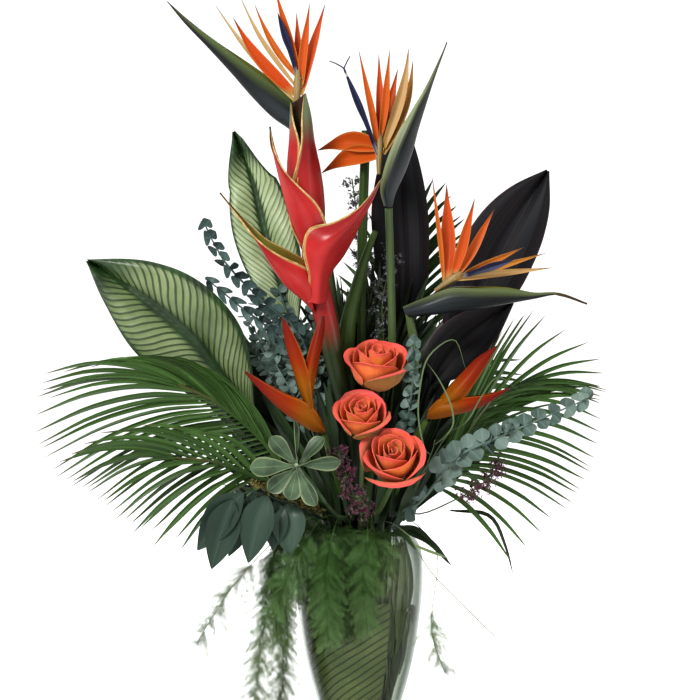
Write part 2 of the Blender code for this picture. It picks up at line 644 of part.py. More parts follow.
def make_palms():
    frond("palm_left", 3, 202.5, way((-62, -38, 290), (-101, -44, 344), (-149, -48, 384), (-187, -50, 402)),
          (way((-330, -60, 392), (-331, -62, 354), (-310, -62, 313), (-276, -60, 295), (-241, -58, 262),
               (-190, -56, 246)),
           way((-323, -55, 427), (-272, -50, 463), (-226, -44, 489), (-190, -42, 499), (-159, -44, 486))),
          12, 7.0, start=0.38)
    frond("palm_left_low", 3, 225, way((-52, -42, 288), (-107, -62, 308), (-148, -70, 324), (-188, -74, 328)),
          (way((-291, -88, 310), (-263, -88, 290), (-240, -84, 262), (-205, -80, 236), (-150, -76, 238)),
           way((-305, -84, 330), (-285, -80, 350), (-254, -78, 370), (-214, -76, 384), (-163, -72, 377))),
          8, 7.0, start=0.45, rise=12)
    frond("palm_right", 3, 0, way((54, -24, 270), (83, -36, 304), (114, -42, 355), (143, -44, 394)),
          (way((247, -56, 384), (247, -58, 360), (243, -60, 340), (237, -60, 318), (226, -58, 296),
               (207, -56, 270),
               (156, -52, 221)),
           way((254, -48, 402), (244, -40, 440), (192, -34, 473), (166, -30, 477), (136, -28, 440))),
          11, 7.0, start=0.36, rise=12)
    frond("palm_upper", 3, 67.5, way((22, 52, 340), (33, 74, 433), (44, 84, 498), (50, 88, 552)),
          (way((94, 84, 615), (111, 82, 585), (120, 80, 560), (132, 78, 528), (141, 76, 487)),
           way((60, 96, 622), (20, 100, 600), (-6, 104, 560), (-22, 106, 520), (-30, 104, 480))),
          7, 6.5, start=0.5, rise=6)
    frond("palm_back_left", 3, 135, way((-52, 70, 300), (-80, 106, 350), (-100, 128, 390)),
          (way((-190, 150, 420), (-190, 150, 380), (-180, 146, 330), (-160, 140, 290)),
           way((-60, 150, 466), (-30, 150, 452), (0, 148, 426), (20, 140, 385))),
          7, 7.5, start=0.4, rise=12, flat=Vector((0, 1, -0.4)))
    frond("palm_back_right", 4, 55, way((52, 70, 300), (78, 104, 350), (96, 126, 390)),
          (way((180, 140, 420), (184, 142, 380), (170, 140, 330), (140, 136, 280)),
           way((120, 160, 470), (84, 168, 466), (50, 166, 436), (24, 158, 400))),
          7, 7.5, start=0.4, rise=12, flat=Vector((0, 1, 0.4)), radius=1.6, face=Vector((1, 0, 0)))


# ---------------------------------------------------------------- filler

def make_eucalyptus():
    sprig("eucalyptus_upper_left", 3, 157.5,
          way((-44, 2, 350), (-60, -16, 448), (-102, -14, 488), (-141, -8, 528),
                                                 (-164, -4, 572)), 12, 11, 11, start=0.55, taper=0.8)
    sprig("eucalyptus_small", 2, 190, way((-44, -20, 350), (-76, -38, 440), (-125, -36, 483),
                                          (-159, -34, 511)),
          7, 7, 8, start=0.62, taper=0.8, radius=1.3)
    sprig("eucalyptus_right", 4, -36, way((56, -42, 274), (80, -70, 306), (102, -96, 334), (155, -110, 359),
                                          (228, -114, 391)),
          12, 18, 19, start=0.32, taper=0.5)
    sprig("eucalyptus_centre", 3, -45, way((40, -46, 330), (50, -60, 370), (55, -68, 415), (56, -72, 452)),
          9, 13, 13, start=0.42, taper=0.7)


def make_pittosporum():
    """A rosette of blunt leaves round the end of a stem that comes out towards the front."""
    low, high = rooted(3, 247.5, way((-28, -62, 272), (-52, -98, 310), (-62, -112, 322), (-64, -118, 325)),
                       2.0)
    line = low + smooth(high[:-1], 6) + way((-63, -115, 323.5), (-64, -118, 325))
    branch = Branch(line, [2.0, 2.0, 2.2], Vector((1, 0, 0)))
    tips = [(-1, 3, (-19, -122, 329)), (-1, 1, (-110, -120, 322)), (-1, 0, (-66, -122, 370)),
            (-1, 2, (-44, -120, 284)), (-2, 3, (-36, -112, 352)), (-2, 1, (-92, -112, 298)),
            (-2, 2, (-70, -112, 289)), (-2, 0, (-90, -106, 352))]
    for back, k, tip in tips:
        i = len(line) - 1 + back
        root = (line[i] + line[i + 1]) / 2
        end = point(*tip)
        places = [root.lerp(end, f) for f in LEAF_SHARES]
        branch.leaflet(i, k, places, [9, 17, 8], [1.2, 1.2, 1.0], FRONT)
    branch.made("pittosporum", "grey_green")


def make_seeded():
    """Seeded eucalyptus: hanging leaves, and a cluster of small seeds above them."""
    low, high = rooted(4, 215, way((-46, -60, 268), (-80, -90, 286), (-106, -98, 297), (-126, -97, 290),
                                   (-142, -94, 276)), 1.6)
    line = low + smooth(high, 14)
    branch = Branch(line, [1.6, 1.6, 1.1], Vector((0, 0, 1)))
    leaves = [(13, 2, (-150, -96, 234)), (12, 0, (-164, -88, 252)), (11, 1, (-132, -98, 232)),
              (10, 1, (-112, -100, 240)), (9, 1, (-88, -102, 240)), (12, 2, (-128, -84, 240)),
              (8, 1, (-70, -96, 246))]
    for i, k, tip in leaves:
        root = (line[i] + line[i + 1]) / 2
        places = [root.lerp(point(*tip), f) for f in LEAF_SHARES]
        branch.leaflet(i, k, places, [14, 20, 3], [1, 1, 0.6], FRONT)
    for i in range(5, 12):
        for k in (0, 3):
            root = (line[i] + line[i + 1]) / 2
            out = (branch.side_of(i, k) + FRONT * 0.6).normalized()
            places = [root + out * 7 * MM, root + out * 13 * MM]
            branch.leaflet(i, k, places, [5, 3], [4, 3], branch.side_of(i, (k + 1) % 4))
    branch.made("seeded_eucalyptus", "grey_green")


def fern(name, ring, angle, above, count, reach, start):
    """Asparagus fern: a thin arching stem with comb-like side branches."""
    return sprig(name, ring, angle, above, count, FERN_WIDTH, reach, start=start, radius=THIN_STEM,
                 colour="fern", face=Vector((1, 0, 0)), forward=0.7, taper=0.35, shares=(1.0,))


def make_ferns():
    fern("asparagus_front_left", 4, -122, way((-34, -58, 268), (-52, -88, 250), (-70, -94, 214),
                                              (-88, -88, 170)), 12, 24, 0.42)
    fern("asparagus_front", 4, -104, way((-18, -58, 270), (-28, -92, 250), (-34, -100, 205),
                                         (-32, -96, 142)), 13, 26, 0.4)
    fern("asparagus_front_right", 4, -72, way((8, -62, 266), (8, -92, 246), (4, -98, 205), (8, -92, 152)),
         13, 26, 0.4)
    fern("asparagus_left", 4, 228, way((-52, -52, 262), (-86, -70, 236), (-100, -56, 140), (-114, -44, 40)),
         15, 22, 0.3)
    fern("asparagus_left_inner", 4, 198, way((-60, -24, 262), (-82, -34, 220), (-80, -30, 114),
                                             (-84, -20, 32)), 13, 16, 0.35)
    fern("asparagus_far_left", 4, 206, way((-64, -48, 258), (-104, -68, 226), (-136, -74, 188),
                                           (-166, -76, 140)), 10, 16, 0.5)
    fern("asparagus_right", 4, -2, way((56, -20, 262), (80, -36, 226), (74, -48, 150), (88, -48, 104)), 7,
         14, 0.68)


def flower_sprig(name, ring, angle, above, count, reach, start, colour, head, radius=THIN_STEM):
    """A branching sprig of tiny flowers, each drawn as a small blunt head."""
    return sprig(name, ring, angle, above, count, head, reach, start=start, radius=radius, colour=colour,
                 face=Vector((1, 0, 0)), forward=0.9, taper=0.7, spin=True, thickness=head * 0.7)


def make_sprigs():
    flower_sprig("limonium_upper", 3, 112.5, way((-6, 40, 340), (12, 42, 440), (4, 42, 530), (-8, 40, 617)),
                 9, 14, 0.52,
                 "grey_lilac", 5)
    flower_sprig("limonium_centre", 0, 0, way((8, -4, 300), (16, -5, 360), (25, 4, 441), (24, 2, 490),
                                              (37, -2, 534)),
                 7, 13, 0.66, "grey_lilac", 5, radius=1.8)
    flower_sprig("waxflower_centre", 4, -88,
                 way((2, -62, 264), (0, -96, 276), (-10, -112, 304), (-22, -108, 338)),
                 7, 13, 0.4, "burgundy", 6)
    flower_sprig("waxflower_right", 4, -18,
                 way((62, -38, 266), (92, -66, 282), (122, -80, 300), (142, -86, 322)),
                 6, 12, 0.6, "burgundy", 6)


def make_grass():
    """Bear grass: thin blades, one tuft that arches over the roses and one low at the right."""
    low, high = rooted(4, -27, way((56, -30, 290), (73, -56, 330), (76, -84, 347)), THIN_STEM)
    branch = Branch(low + smooth(high, 7), [THIN_STEM, THIN_STEM, 1.2], UP)
    arcs = [(7, way((88, -97, 354), (94, -114, 372), (82, -121, 405), (66, -118, 428))),
            (6, way((65, -94, 341), (58, -110, 385), (70, -117, 436), (94, -110, 450), (106, -110, 420))),
            (5, way((93, -74, 356), (108, -118, 370), (134, -125, 412), (158, -122, 400)))]
    for i, places in arcs:
        out = places[0] - branch.line[i]
        k = max(range(4), key=lambda side: branch.side_of(i, side).dot(out))
        branch.leaflet(i, k, smooth(places, 6), [2.4, 2.4, 2.2, 2.0, 1.6, 0.8], [GRASS_THICKNESS] * 6, FRONT)
    branch.made("grass_tuft", "green")
    low, high = rooted(4, -52, way((34, -50, 258), (52, -64, 246), (70, -66, 214), (104, -66, 178),
                                   (139, -66, 144)), 1.2)
    line = low + smooth(high, 9)
    branch = Branch(line, [1.2, 1.2, 0.9, 0.5], UP)
    root = (line[4] + line[5]) / 2
    places = [root.lerp(point(91, -70, 225), f) for f in LEAF_SHARES]
    branch.leaflet(4, 3, places, [5, 5, 1], [GRASS_THICKNESS] * 3, FRONT)
    branch.made("grass_low", "dark_green")


def main():
    global parts, helpers
    clear_scene()
    parts = collection("tropical_flower_arrangement")
    helpers = collection("cutters")
    make_vase()
    make_lining()
    make_birds()
    make_heliconia()
    make_parrots()
    make_roses()
    make_stalks()
    make_leaves()
    make_palms()
    make_eucalyptus()
    make_pittosporum()
    make_seeded()
    make_ferns()
    make_sprigs()
    make_grass()
    make_water()
    print(len(parts.objects), "pieces")


main()
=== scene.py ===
# %% [markdown]
# # Tropical flowers in a glass vase
# The solids of the vase and of every stem, leaf and flower are already there: they say where each piece
# stands, how wide it is and which way it looks. This lesson dresses them. Each solid is read as a set of
# limbs, a finely modelled leaf or petal is laid along each limb, and every surface gets a material made
# of nodes.

# %% Load the frame
import json
import math

import bmesh
import bpy
import numpy as np
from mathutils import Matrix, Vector


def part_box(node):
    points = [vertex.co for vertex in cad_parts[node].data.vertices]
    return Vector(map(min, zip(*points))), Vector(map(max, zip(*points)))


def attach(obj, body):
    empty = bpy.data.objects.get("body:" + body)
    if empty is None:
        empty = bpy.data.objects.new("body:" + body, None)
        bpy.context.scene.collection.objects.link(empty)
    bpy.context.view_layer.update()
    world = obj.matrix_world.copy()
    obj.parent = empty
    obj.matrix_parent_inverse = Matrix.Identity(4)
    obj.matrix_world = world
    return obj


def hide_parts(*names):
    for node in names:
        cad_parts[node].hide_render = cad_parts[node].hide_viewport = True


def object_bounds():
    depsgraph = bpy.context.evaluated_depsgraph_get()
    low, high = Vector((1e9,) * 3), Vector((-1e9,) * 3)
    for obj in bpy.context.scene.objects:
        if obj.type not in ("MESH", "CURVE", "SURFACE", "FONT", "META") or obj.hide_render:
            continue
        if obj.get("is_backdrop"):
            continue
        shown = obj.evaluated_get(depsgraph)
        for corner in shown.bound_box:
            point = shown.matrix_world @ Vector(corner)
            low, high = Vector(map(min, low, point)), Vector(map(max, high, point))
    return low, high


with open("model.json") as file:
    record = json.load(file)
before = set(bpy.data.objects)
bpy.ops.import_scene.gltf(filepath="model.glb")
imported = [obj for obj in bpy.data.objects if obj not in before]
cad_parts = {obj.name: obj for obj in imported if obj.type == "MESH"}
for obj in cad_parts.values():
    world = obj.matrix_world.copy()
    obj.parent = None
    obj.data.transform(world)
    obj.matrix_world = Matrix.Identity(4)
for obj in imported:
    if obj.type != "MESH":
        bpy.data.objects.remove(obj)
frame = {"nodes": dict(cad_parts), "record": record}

CAD_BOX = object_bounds()
MM = 0.001
FRONT = Vector((0, -1, 0))
UP = Vector((0, 0, 1))
scene = bpy.context.scene
print("nodes:", len(frame["nodes"]), "box:", [[round(x, 3) for x in corner] for corner in CAD_BOX])

# %% [markdown]
# ## Camera, light and floor
# Flowers in a tall vase are pictured from a few steps back with a long lens, at about the height of the
# blooms, so that nothing near bulges. The light is a white tent: a bright world, three soft lamps and a
# strip that draws a line of light down the glass.
# The floor is a wide pale disc, with no wall, so that the piece can be looked at from every side.

# %% Camera, light and floor
VIEW_DISTANCE = 2.4
VIEW_TILT = math.radians(2.0)
VIEW_CENTRE = Vector((-0.010, 0, 0.43575))
LENS = 117.55
SENSOR_WIDTH = 36


def aimed(obj, place, target):
    obj.location = place
    obj.rotation_euler = (Vector(target) - Vector(place)).to_track_quat("-Z", "Y").to_euler()
    scene.collection.objects.link(obj)
    return obj


def lamp(name, place, target, size, watts, tall=None):
    data = bpy.data.lights.new(name, "AREA")
    data.shape = "RECTANGLE" if tall else "DISK"
    data.size = size
    data.size_y = tall or size
    data.energy = watts
    return aimed(bpy.data.objects.new(name, data), place, target)


camera_data = bpy.data.cameras.new("camera")
camera_data.lens = LENS
camera_data.sensor_width = SENSOR_WIDTH
eye = VIEW_CENTRE + VIEW_DISTANCE * Vector((0, -math.cos(VIEW_TILT), math.sin(VIEW_TILT)))
scene.camera = aimed(bpy.data.objects.new("camera", camera_data), eye, VIEW_CENTRE)
lamp("key_lamp", (-1.3, -1.9, 1.9), (0, 0, 0.45), 1.0, 110)
lamp("fill_lamp", (1.9, -1.2, 1.1), (0, 0, 0.4), 1.4, 6)
lamp("back_lamp", (0.4, 1.8, 1.7), (0, 0, 0.5), 1.2, 20)
lamp("strip_lamp", (1.75, -1.7, 0.35), (0, 0, 0.2), 0.08, 9, tall=1.0)

world = bpy.data.worlds.new("white_tent")
world.use_nodes = True
world.node_tree.nodes["Background"].inputs["Color"].default_value = (1.0, 1.0, 1.0, 1)
world.node_tree.nodes["Background"].inputs["Strength"].default_value = 1.0
scene.world = world
scene.view_settings.view_transform = "Standard"
scene.view_settings.look = "Medium High Contrast"

# %% [markdown]
# ## A short way to write materials
# Shader maths is easier to read as sums than as boxes and wires. `Socket` wraps one output of a node, and
# its operators add Math nodes. `Finish` is one material: `node` adds any other kind of node, given its
# settings and what goes into its sockets. A colour is given by its usual six-figure code.

# %% Sockets that add and multiply
class Socket:
    def __init__(self, finish, socket):
        self.finish = finish
        self.socket = socket

    def math(self, operation, *others, clamp=False):
        return self.finish.node("ShaderNodeMath", {"operation": operation, "use_clamp": clamp},
                                dict(enumerate((self, *others))))

    def __add__(self, other):
        return self.math("ADD", other)

    def __sub__(self, other):
        return self.math("SUBTRACT", other)

    def __rsub__(self, other):
        return self.math("MULTIPLY_ADD", -1.0, other)

    def __mul__(self, other):
        return self.math("MULTIPLY", other)

    def __abs__(self):
        return self.math("ABSOLUTE")

    def between(self, low, high):
        """0 below low, 1 above high, and an even ramp between them. low may be the higher of the two."""
        return self.math("SUBTRACT", low).math("MULTIPLY", 1 / (high - low), clamp=True)

# %% [markdown]
# A finish starts with little shine. Noise, tone and the piece's own map say where its colours go, and
# `coat` puts the mixture on the shader.

# %% Finishes
PLANT_SHEEN = 0.13


class Finish:
    """A material round one Principled shader. Leaves and petals reflect less than glass or varnish."""

    def __init__(self, name, roughness=0.5, **settings):
        self.material = bpy.data.materials.new(name)
        self.material.use_nodes = True
        self.tree = self.material.node_tree
        self.shader = self.tree.nodes["Principled BSDF"]
        self.set("Roughness", roughness)
        self.set("Specular IOR Level", PLANT_SHEEN)
        for socket, value in settings.items():
            self.set(socket.replace("_", " "), value)

    def put(self, socket, value):
        if isinstance(value, Socket):
            self.tree.links.new(value.socket, socket)
        elif socket.type == "RGBA":
            socket.default_value = (*plain(value), 1)
        else:
            socket.default_value = value

    def set(self, name, value):
        self.put(self.shader.inputs[name], value)

    def node(self, kind, settings=None, inputs=None, output=0):
        made = self.tree.nodes.new(kind)
        for name, value in (settings or {}).items():
            if name == "stops":
                self.stops(made.color_ramp, value)
            else:
                setattr(made, name, value)
        for name, value in (inputs or {}).items():
            self.put(made.inputs[name], value)
        return Socket(self, made.outputs[output])

    def stops(self, ramp, stops):
        while len(ramp.elements) < len(stops):
            ramp.elements.new(1.0)
        for element, (place, colour) in zip(ramp.elements, stops):
            element.position = place
            element.color = (*plain(colour), 1)

    def own_map(self):
        return self.node("ShaderNodeUVMap", {"uv_map": "UVMap"})

    def uv(self):
        """The piece's own map: 0 to 1 across it, and 0 to 1 from its root to its tip."""
        across = self.node("ShaderNodeSeparateXYZ", inputs={0: self.own_map()})
        return across, Socket(self, across.socket.node.outputs[1])

    def tone(self):
        """A number from 0 to 1 that each leaf or petal keeps to itself."""
        return self.node("ShaderNodeAttribute", {"attribute_name": "tone"}, output=2)

    def noise(self, scale, detail=3.0, where=None):
        place = where or self.node("ShaderNodeTexCoord", output=3)
        return self.node("ShaderNodeTexNoise", {"noise_dimensions": "3D"},
                         {"Vector": place, "Scale": scale, "Detail": detail})

    def streaks(self, across, along, detail=3.0):
        """Noise on the piece's own map, drawn out: across and along are how often it repeats each way."""
        drawn = {"Vector": self.own_map(), "Scale": (across, along, 1.0)}
        return self.noise(1.0, detail, self.node("ShaderNodeMapping", inputs=drawn))

    def ramp(self, factor, *stops):
        return self.node("ShaderNodeValToRGB", {"stops": stops}, {"Fac": factor})

    def mix(self, factor, a, b):
        made = self.tree.nodes.new("ShaderNodeMix")
        made.data_type = "RGBA"
        for index, value in ((0, factor), (6, a), (7, b)):
            self.put(made.inputs[index], value)
        return Socket(self, made.outputs[2])

    def coat(self, colour, roughness, relief=None, strength=0.3, distance=0.4 * MM):
        """Put a colour, a roughness and, when there is one, a relief on the shader."""
        self.set("Base Color", colour)
        self.set("Roughness", roughness)
        if relief is not None:
            inputs = {"Height": relief, "Strength": strength, "Distance": distance}
            self.set("Normal", self.node("ShaderNodeBump", inputs=inputs))
        return self


finishes = {}
DARKER = 0.42


def linear(code, share=DARKER):
    """A colour as the shader wants it, from its usual six-figure code. The white tent brightens every
    surface, so each is mixed darker, to a share of itself."""
    parts = [int(code[i:i + 2], 16) / 255 for i in (0, 2, 4)]
    light = [p / 12.92 if p < 0.04045 else ((p + 0.055) / 1.055) ** 2.4 for p in parts]
    return tuple(round(share * p, 4) for p in light)


def plain(colour):
    return linear(colour) if isinstance(colour, str) else colour


# %% The floor
FLOOR_RADIUS = 6.0
bpy.ops.mesh.primitive_circle_add(vertices=96, radius=FLOOR_RADIUS, fill_type="NGON")
floor = bpy.context.object
floor.name = "floor"
floor_paint = Finish("floor_paint", roughness=0.8)
floor_paint.set("Base Color", floor_paint.ramp(floor_paint.noise(3.0), (0.0, (0.96, 0.96, 0.96)),
                                               (1.0, (0.99, 0.99, 0.99))))
floor.data.materials.append(floor_paint.material)
floor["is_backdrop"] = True
print("floor radius:", FLOOR_RADIUS)

# %% [markdown]
# ## Reading the solids
# A frond is a thin square stem whose sides were drawn out into leaflets, so its mesh is a set of chains
# of small rings. A flat end is four corners with only four neighbours. Walking from one flat end, ring
# by ring, until the walk meets something wider gives one limb: its middle line, its width and the way
# that it looks. The mesh is read from a merged copy, and the solid itself is left as it is.

# %% Smooth limbs
FINE = 64


class Limb:
    """A smooth line with a width, a depth and a direction at each of its places, from root to tip."""

    def __init__(self, centres, wide, deep, face=FRONT, spreads=None):
        centres = np.array(centres)
        self.rings = (centres, np.array(wide), np.array(deep))
        steps = np.r_[0, np.cumsum(np.linalg.norm(np.diff(centres, axis=0), axis=1))]
        self.length = steps[-1]
        self.ends = steps / steps[-1]
        self.t = np.linspace(0, 1, FINE)
        self.line = curve_through(centres, self.ends, self.t)
        self.tangent = unit(np.gradient(self.line, axis=0))
        if spreads is None:
            across = np.cross(self.tangent, np.tile(np.array(face, float), (FINE, 1)))
        else:
            for n in range(1, len(spreads)):
                spreads[n] = spreads[n] * (1 if spreads[n] @ spreads[n - 1] > 0 else -1)
            across = np.stack([np.interp(self.t, self.ends, np.array(spreads)[:, k]) for k in range(3)], 1)
            across -= self.tangent * (across * self.tangent).sum(axis=1)[:, None]
        self.across = unit(across)
        self.normal = np.cross(self.across, self.tangent)
        if (self.normal @ np.array(face)).mean() < 0:
            self.across = -self.across
            self.normal = -self.normal
        self.wide, self.deep = [np.maximum(curve_through(np.array(size)[:, None], self.ends, self.t)[:, 0],
                                           0.3 * MM) for size in (wide, deep)]

    def at(self, t, values):
        return np.stack([np.interp(t, self.t, values[:, k]) for k in range(3)], axis=1)

    def part(self, first, last=None):
        """The limb again, between two of its rings."""
        return Limb(*[size[first:last] for size in self.rings])


def unit(vectors):
    return vectors / np.maximum(np.linalg.norm(vectors, axis=-1, keepdims=True), 1e-9)


def even_limb(places, thick=MM, face=FRONT):
    """A limb through places that is equally thick all along."""
    return Limb(places, [thick] * len(places), [thick] * len(places), face)


def limb_of(rings, turned=True):
    """The limb that runs through rings of corners. turned keeps the way that the rings' broad side lies."""
    centres = [np.mean(ring, axis=0) for ring in rings]
    wide, deep, spreads = [], [], []
    for centre, ring in zip(centres, rings):
        spread = np.linalg.svd(np.array(ring) - centre)[2][0]
        along = (np.array(ring) - centre) @ spread
        other = np.linalg.norm(np.array(ring) - centre - np.outer(along, spread), axis=1)
        wide.append(along.max() - along.min())
        deep.append(2 * other.max())
        spreads.append(spread)
    return Limb(centres, wide, deep, spreads=spreads if turned else None)


def curve_through(points, ends, t):
    """Places at t on a smooth curve through the points, which lie at the values in ends."""
    slopes = np.gradient(points, ends, axis=0) if len(points) > 2 else np.tile(points[-1] - points[0], (2, 1))
    i = np.clip(np.searchsorted(ends, t, side="right") - 1, 0, len(points) - 2)
    span = (ends[i + 1] - ends[i])[:, None]
    f = (t - ends[i])[:, None] / span
    return ((2 * f**3 - 3 * f**2 + 1) * points[i] + (f**3 - 2 * f**2 + f) * span * slopes[i]
            + (3 * f**2 - 2 * f**3) * points[i + 1] + (f**3 - f**2) * span * slopes[i + 1])

# %% [markdown]
# The walk goes over the solid's own edges. Each step is a ring of corners, made of the neighbours of the
# ring before.

# %% Walk along a solid
SAME_PLACE = 1e-6


def merged(node):
    solid = bmesh.new()
    solid.from_mesh(frame["nodes"][node].data)
    bmesh.ops.remove_doubles(solid, verts=solid.verts, dist=SAME_PLACE)
    return solid


def around(ring):
    return {edge.other_vert(v) for v in ring for edge in v.link_edges} - ring


def walk(start, closed_off=frozenset()):
    """The rings from a flat end on, until the walk meets something wider or an end."""
    rings = [start]
    before = set()
    while True:
        ahead = around(rings[-1]) - before - closed_off
        if len(ahead) != len(start):
            return rings
        before = rings[-1]
        rings.append(ahead)


def corners(rings):
    return [[tuple(v.co) for v in ring] for ring in rings]

# %% [markdown]
# Of a leafy solid's flat ends one is its foot, and all the others are tips. A round stem has no such ends
# and is measured in level slices. A sheath is walked from the narrow ring at its needle.

# %% Limbs of leafy solids, stems and sheaths
IN_THE_VASE = 0.2
STEM_CORNERS = 4


def off_axis(ring):
    return min(math.hypot(v.co.x, v.co.y) for v in ring)


def height(ring):
    return min(v.co.z for v in ring)


def flat_ends_of(solid):
    found = []
    for edge in solid.edges:
        ring = {v for f in edge.link_faces for v in f.verts}
        if len(around(ring)) == STEM_CORNERS:
            found.append(ring)
    return found


def limbs(node):
    """The stem of a leafy solid, and its leaflets in order from the foot up."""
    solid = merged(node)
    flat_ends = flat_ends_of(solid)
    inside = [ring for ring in flat_ends if max(v.co.z for v in ring) < IN_THE_VASE]
    foot = min(inside or flat_ends, key=(off_axis if inside else height))
    chains = [walk(ring) for ring in flat_ends if ring != foot]
    leafy = set().union(*[v for chain in chains for v in chain[:-1]]) if chains else set()
    stem = walk(foot, leafy)
    for chain in chains:
        if chain[-1] == stem[-1] and len(chain) > 1:
            stem = stem + chain[-2::-1]
            chains.remove(chain)
            break
    owner = {v: n for n, ring in enumerate(stem) for v in ring}
    chains.sort(key=lambda chain: sum(owner.get(v, 0) for v in chain[-1]))
    found = [limb_of(corners(chain[::-1])) for chain in chains]
    line = limb_of(corners(stem), turned=False)
    solid.free()
    return line, found


def petals_of(node):
    """Every limb of a solid that has no plain foot, such as the flowers of a bird of paradise."""
    solid = merged(node)
    found = [limb_of(corners(walk(ring)[::-1])) for ring in flat_ends_of(solid)]
    solid.free()
    return sorted(found, key=lambda limb: tuple(limb.line[-1]))


SLICES = 26


def tube(node):
    """The single limb of an upright round stem, measured in level slices from its foot up."""
    solid = merged(node)
    ends = [(np.array(a.co), np.array(b.co)) for a, b in (edge.verts for edge in solid.edges)]
    solid.free()
    low = min(min(a[2], b[2]) for a, b in ends)
    high = max(max(a[2], b[2]) for a, b in ends)
    centres, wide = [], []
    for level in np.linspace(low + 0.5 * MM, high - 2.0 * MM, SLICES):
        cut = np.array([a + (b - a) * (level - a[2]) / (b[2] - a[2])
                        for a, b in ends if (a[2] - level) * (b[2] - level) < 0])
        centres.append((cut.min(axis=0) + cut.max(axis=0)) / 2)
        wide.append(min(np.ptp(cut[:, 0]), np.ptp(cut[:, 1])))
    return Limb(centres, wide, wide)


SHEATH_SIDES = 8


def sheath(node):
    """The limb of an eight-sided sheath or bract, from its base to its tip."""
    solid = merged(node)
    places = np.array([v.co[:] for v in solid.verts])
    apart = np.linalg.norm(places[:, None] - places[None], axis=2)
    tip = np.argmin(np.sort(apart, axis=1)[:, SHEATH_SIDES - 1])
    solid.verts.ensure_lookup_table()
    ring = {solid.verts[int(n)] for n in np.argsort(apart[tip])[:SHEATH_SIDES]}
    limb = limb_of(corners(walk(ring)[::-1]), turned=False)
    solid.free()
    return limb


# %% [markdown]
# ## Masters and copies
# A leaf that repeats is modelled once, flat and one unit wide and long, with its root at the origin. Each
# copy then follows its own limb. No operator bends a mesh along a line that has its own width and facing
# at each place, so `lay` does that step in code. The copies of one solid are joined into one piece.

# %% Masters and copies
luck = np.random.default_rng(7)


def only(obj):
    bpy.ops.object.select_all(action="DESELECT")
    obj.select_set(True)
    bpy.context.view_layer.objects.active = obj


def started(name, add, place=(0, 0, 0), **settings):
    """A new master from one of the primitives, with its place taken up into its mesh."""
    bpy.ops.object.select_all(action="DESELECT")
    add(location=place, **settings)
    obj = bpy.context.object
    obj.name = name
    bpy.ops.object.transform_apply(location=True, rotation=False, scale=False)
    return obj


def pick(obj, chosen):
    """Select, in edit mode, the vertices marked in chosen, which holds a true or false for each."""
    solid = bmesh.from_edit_mesh(obj.data)
    for v, yes in zip(solid.verts, chosen):
        v.select = bool(yes)
    solid.select_flush(True)
    solid.select_flush(False)
    bmesh.update_edit_mesh(obj.data)


def grid(name, outline, section=None, columns=2, rows=12):
    """A leaf or petal. outline gives its width at places along it. section gives the place, across and
    up, of points spread evenly across it; without it the leaf is flat."""
    obj = started(name, bpy.ops.mesh.primitive_grid_add, (0, 0.5, 0), x_subdivisions=columns,
                  y_subdivisions=rows, size=1)
    flat = places_of(obj.data)
    bpy.ops.object.mode_set(mode="EDIT")
    bpy.ops.mesh.select_mode(type="VERT")
    if section:
        spread = np.linspace(0, 1, len(section))
        for column in range(columns + 1):
            share = column / columns
            x, z = curve_through(np.array(section, float), spread, np.array([share]))[0]
            pick(obj, abs(flat[:, 0] + 0.5 - share) < 0.01)
            bpy.ops.transform.translate(value=(x + 0.5 - share, 0, z))
    ends = np.array([place for place, _ in outline], float)
    widths = np.array([[width] for _, width in outline], float)
    for row in range(rows + 1):
        width = max(float(curve_through(widths, ends, np.array([row / rows]))[0, 0]), 0.01)
        pick(obj, abs(flat[:, 1] - row / rows) < 0.01)
        bpy.ops.transform.resize(value=(width, 1, width), center_override=(0, row / rows, 0))
    bpy.ops.object.mode_set(mode="OBJECT")
    hide(obj)
    return obj


def hide(obj):
    """A master isn't a piece: it leaves the scene and only its mesh is used."""
    for owner in list(obj.users_collection):
        owner.objects.unlink(obj)


def places_of(mesh):
    flat = np.empty(len(mesh.vertices) * 3)
    mesh.vertices.foreach_get("co", flat)
    return flat.reshape(-1, 3)

# %% [markdown]
# A copy takes the limb's widths and depths, unless they are given. It also gets a tone of its own, which
# its finish can use.

# %% Lay a copy on a limb
def lay(master, limb, width=None, depth=None, tone=None, span=(0, 1), lean=0.0, sag=0.0, shift=0.0):
    """A copy of the master on a limb. width and depth scale the master, or the limb's own are used. lean
    turns it about the limb, in radians, or from one angle at the root to another at the tip. sag lets its
    tip down and shift moves it off the limb."""
    obj = bpy.data.objects.new(master.name, master.data.copy())
    scene.collection.objects.link(obj)
    places = places_of(obj.data)
    t = span[0] + (span[1] - span[0]) * places[:, 1]
    wide = np.interp(t, limb.t, limb.wide) if width is None else width
    deep = depth or width or np.interp(t, limb.t, limb.deep)
    across = limb.at(t, limb.across)
    normal = limb.at(t, limb.normal)
    turn = np.interp(t, [0, 1], np.broadcast_to(lean, 2))[:, None]
    across, normal = (across * np.cos(turn) + normal * np.sin(turn),
                      normal * np.cos(turn) - across * np.sin(turn))
    past = np.maximum(places[:, 1:2] - 1, 0) + np.minimum(places[:, 1:2], 0)
    made = limb.at(t, limb.line) + limb.at(t, limb.tangent) * past * limb.length
    made = made + across * (places[:, 0] * wide)[:, None] + normal * (places[:, 2] * deep + shift)[:, None]
    made = made - np.outer(places[:, 1] ** 2 * sag, UP)
    obj.data.vertices.foreach_set("co", made.ravel())
    if (np.cross(limb.across, limb.tangent) * limb.normal).sum() < 0:
        obj.data.flip_normals()
    toned(obj, luck.random() if tone is None else tone)
    return obj


def painted(obj, finish):
    obj.data.materials.append(finish.material)
    return obj


def toned(obj, tone):
    note = obj.data.attributes.new("tone", "FLOAT", "POINT")
    note.data.foreach_set("value", np.full(len(obj.data.vertices), tone))


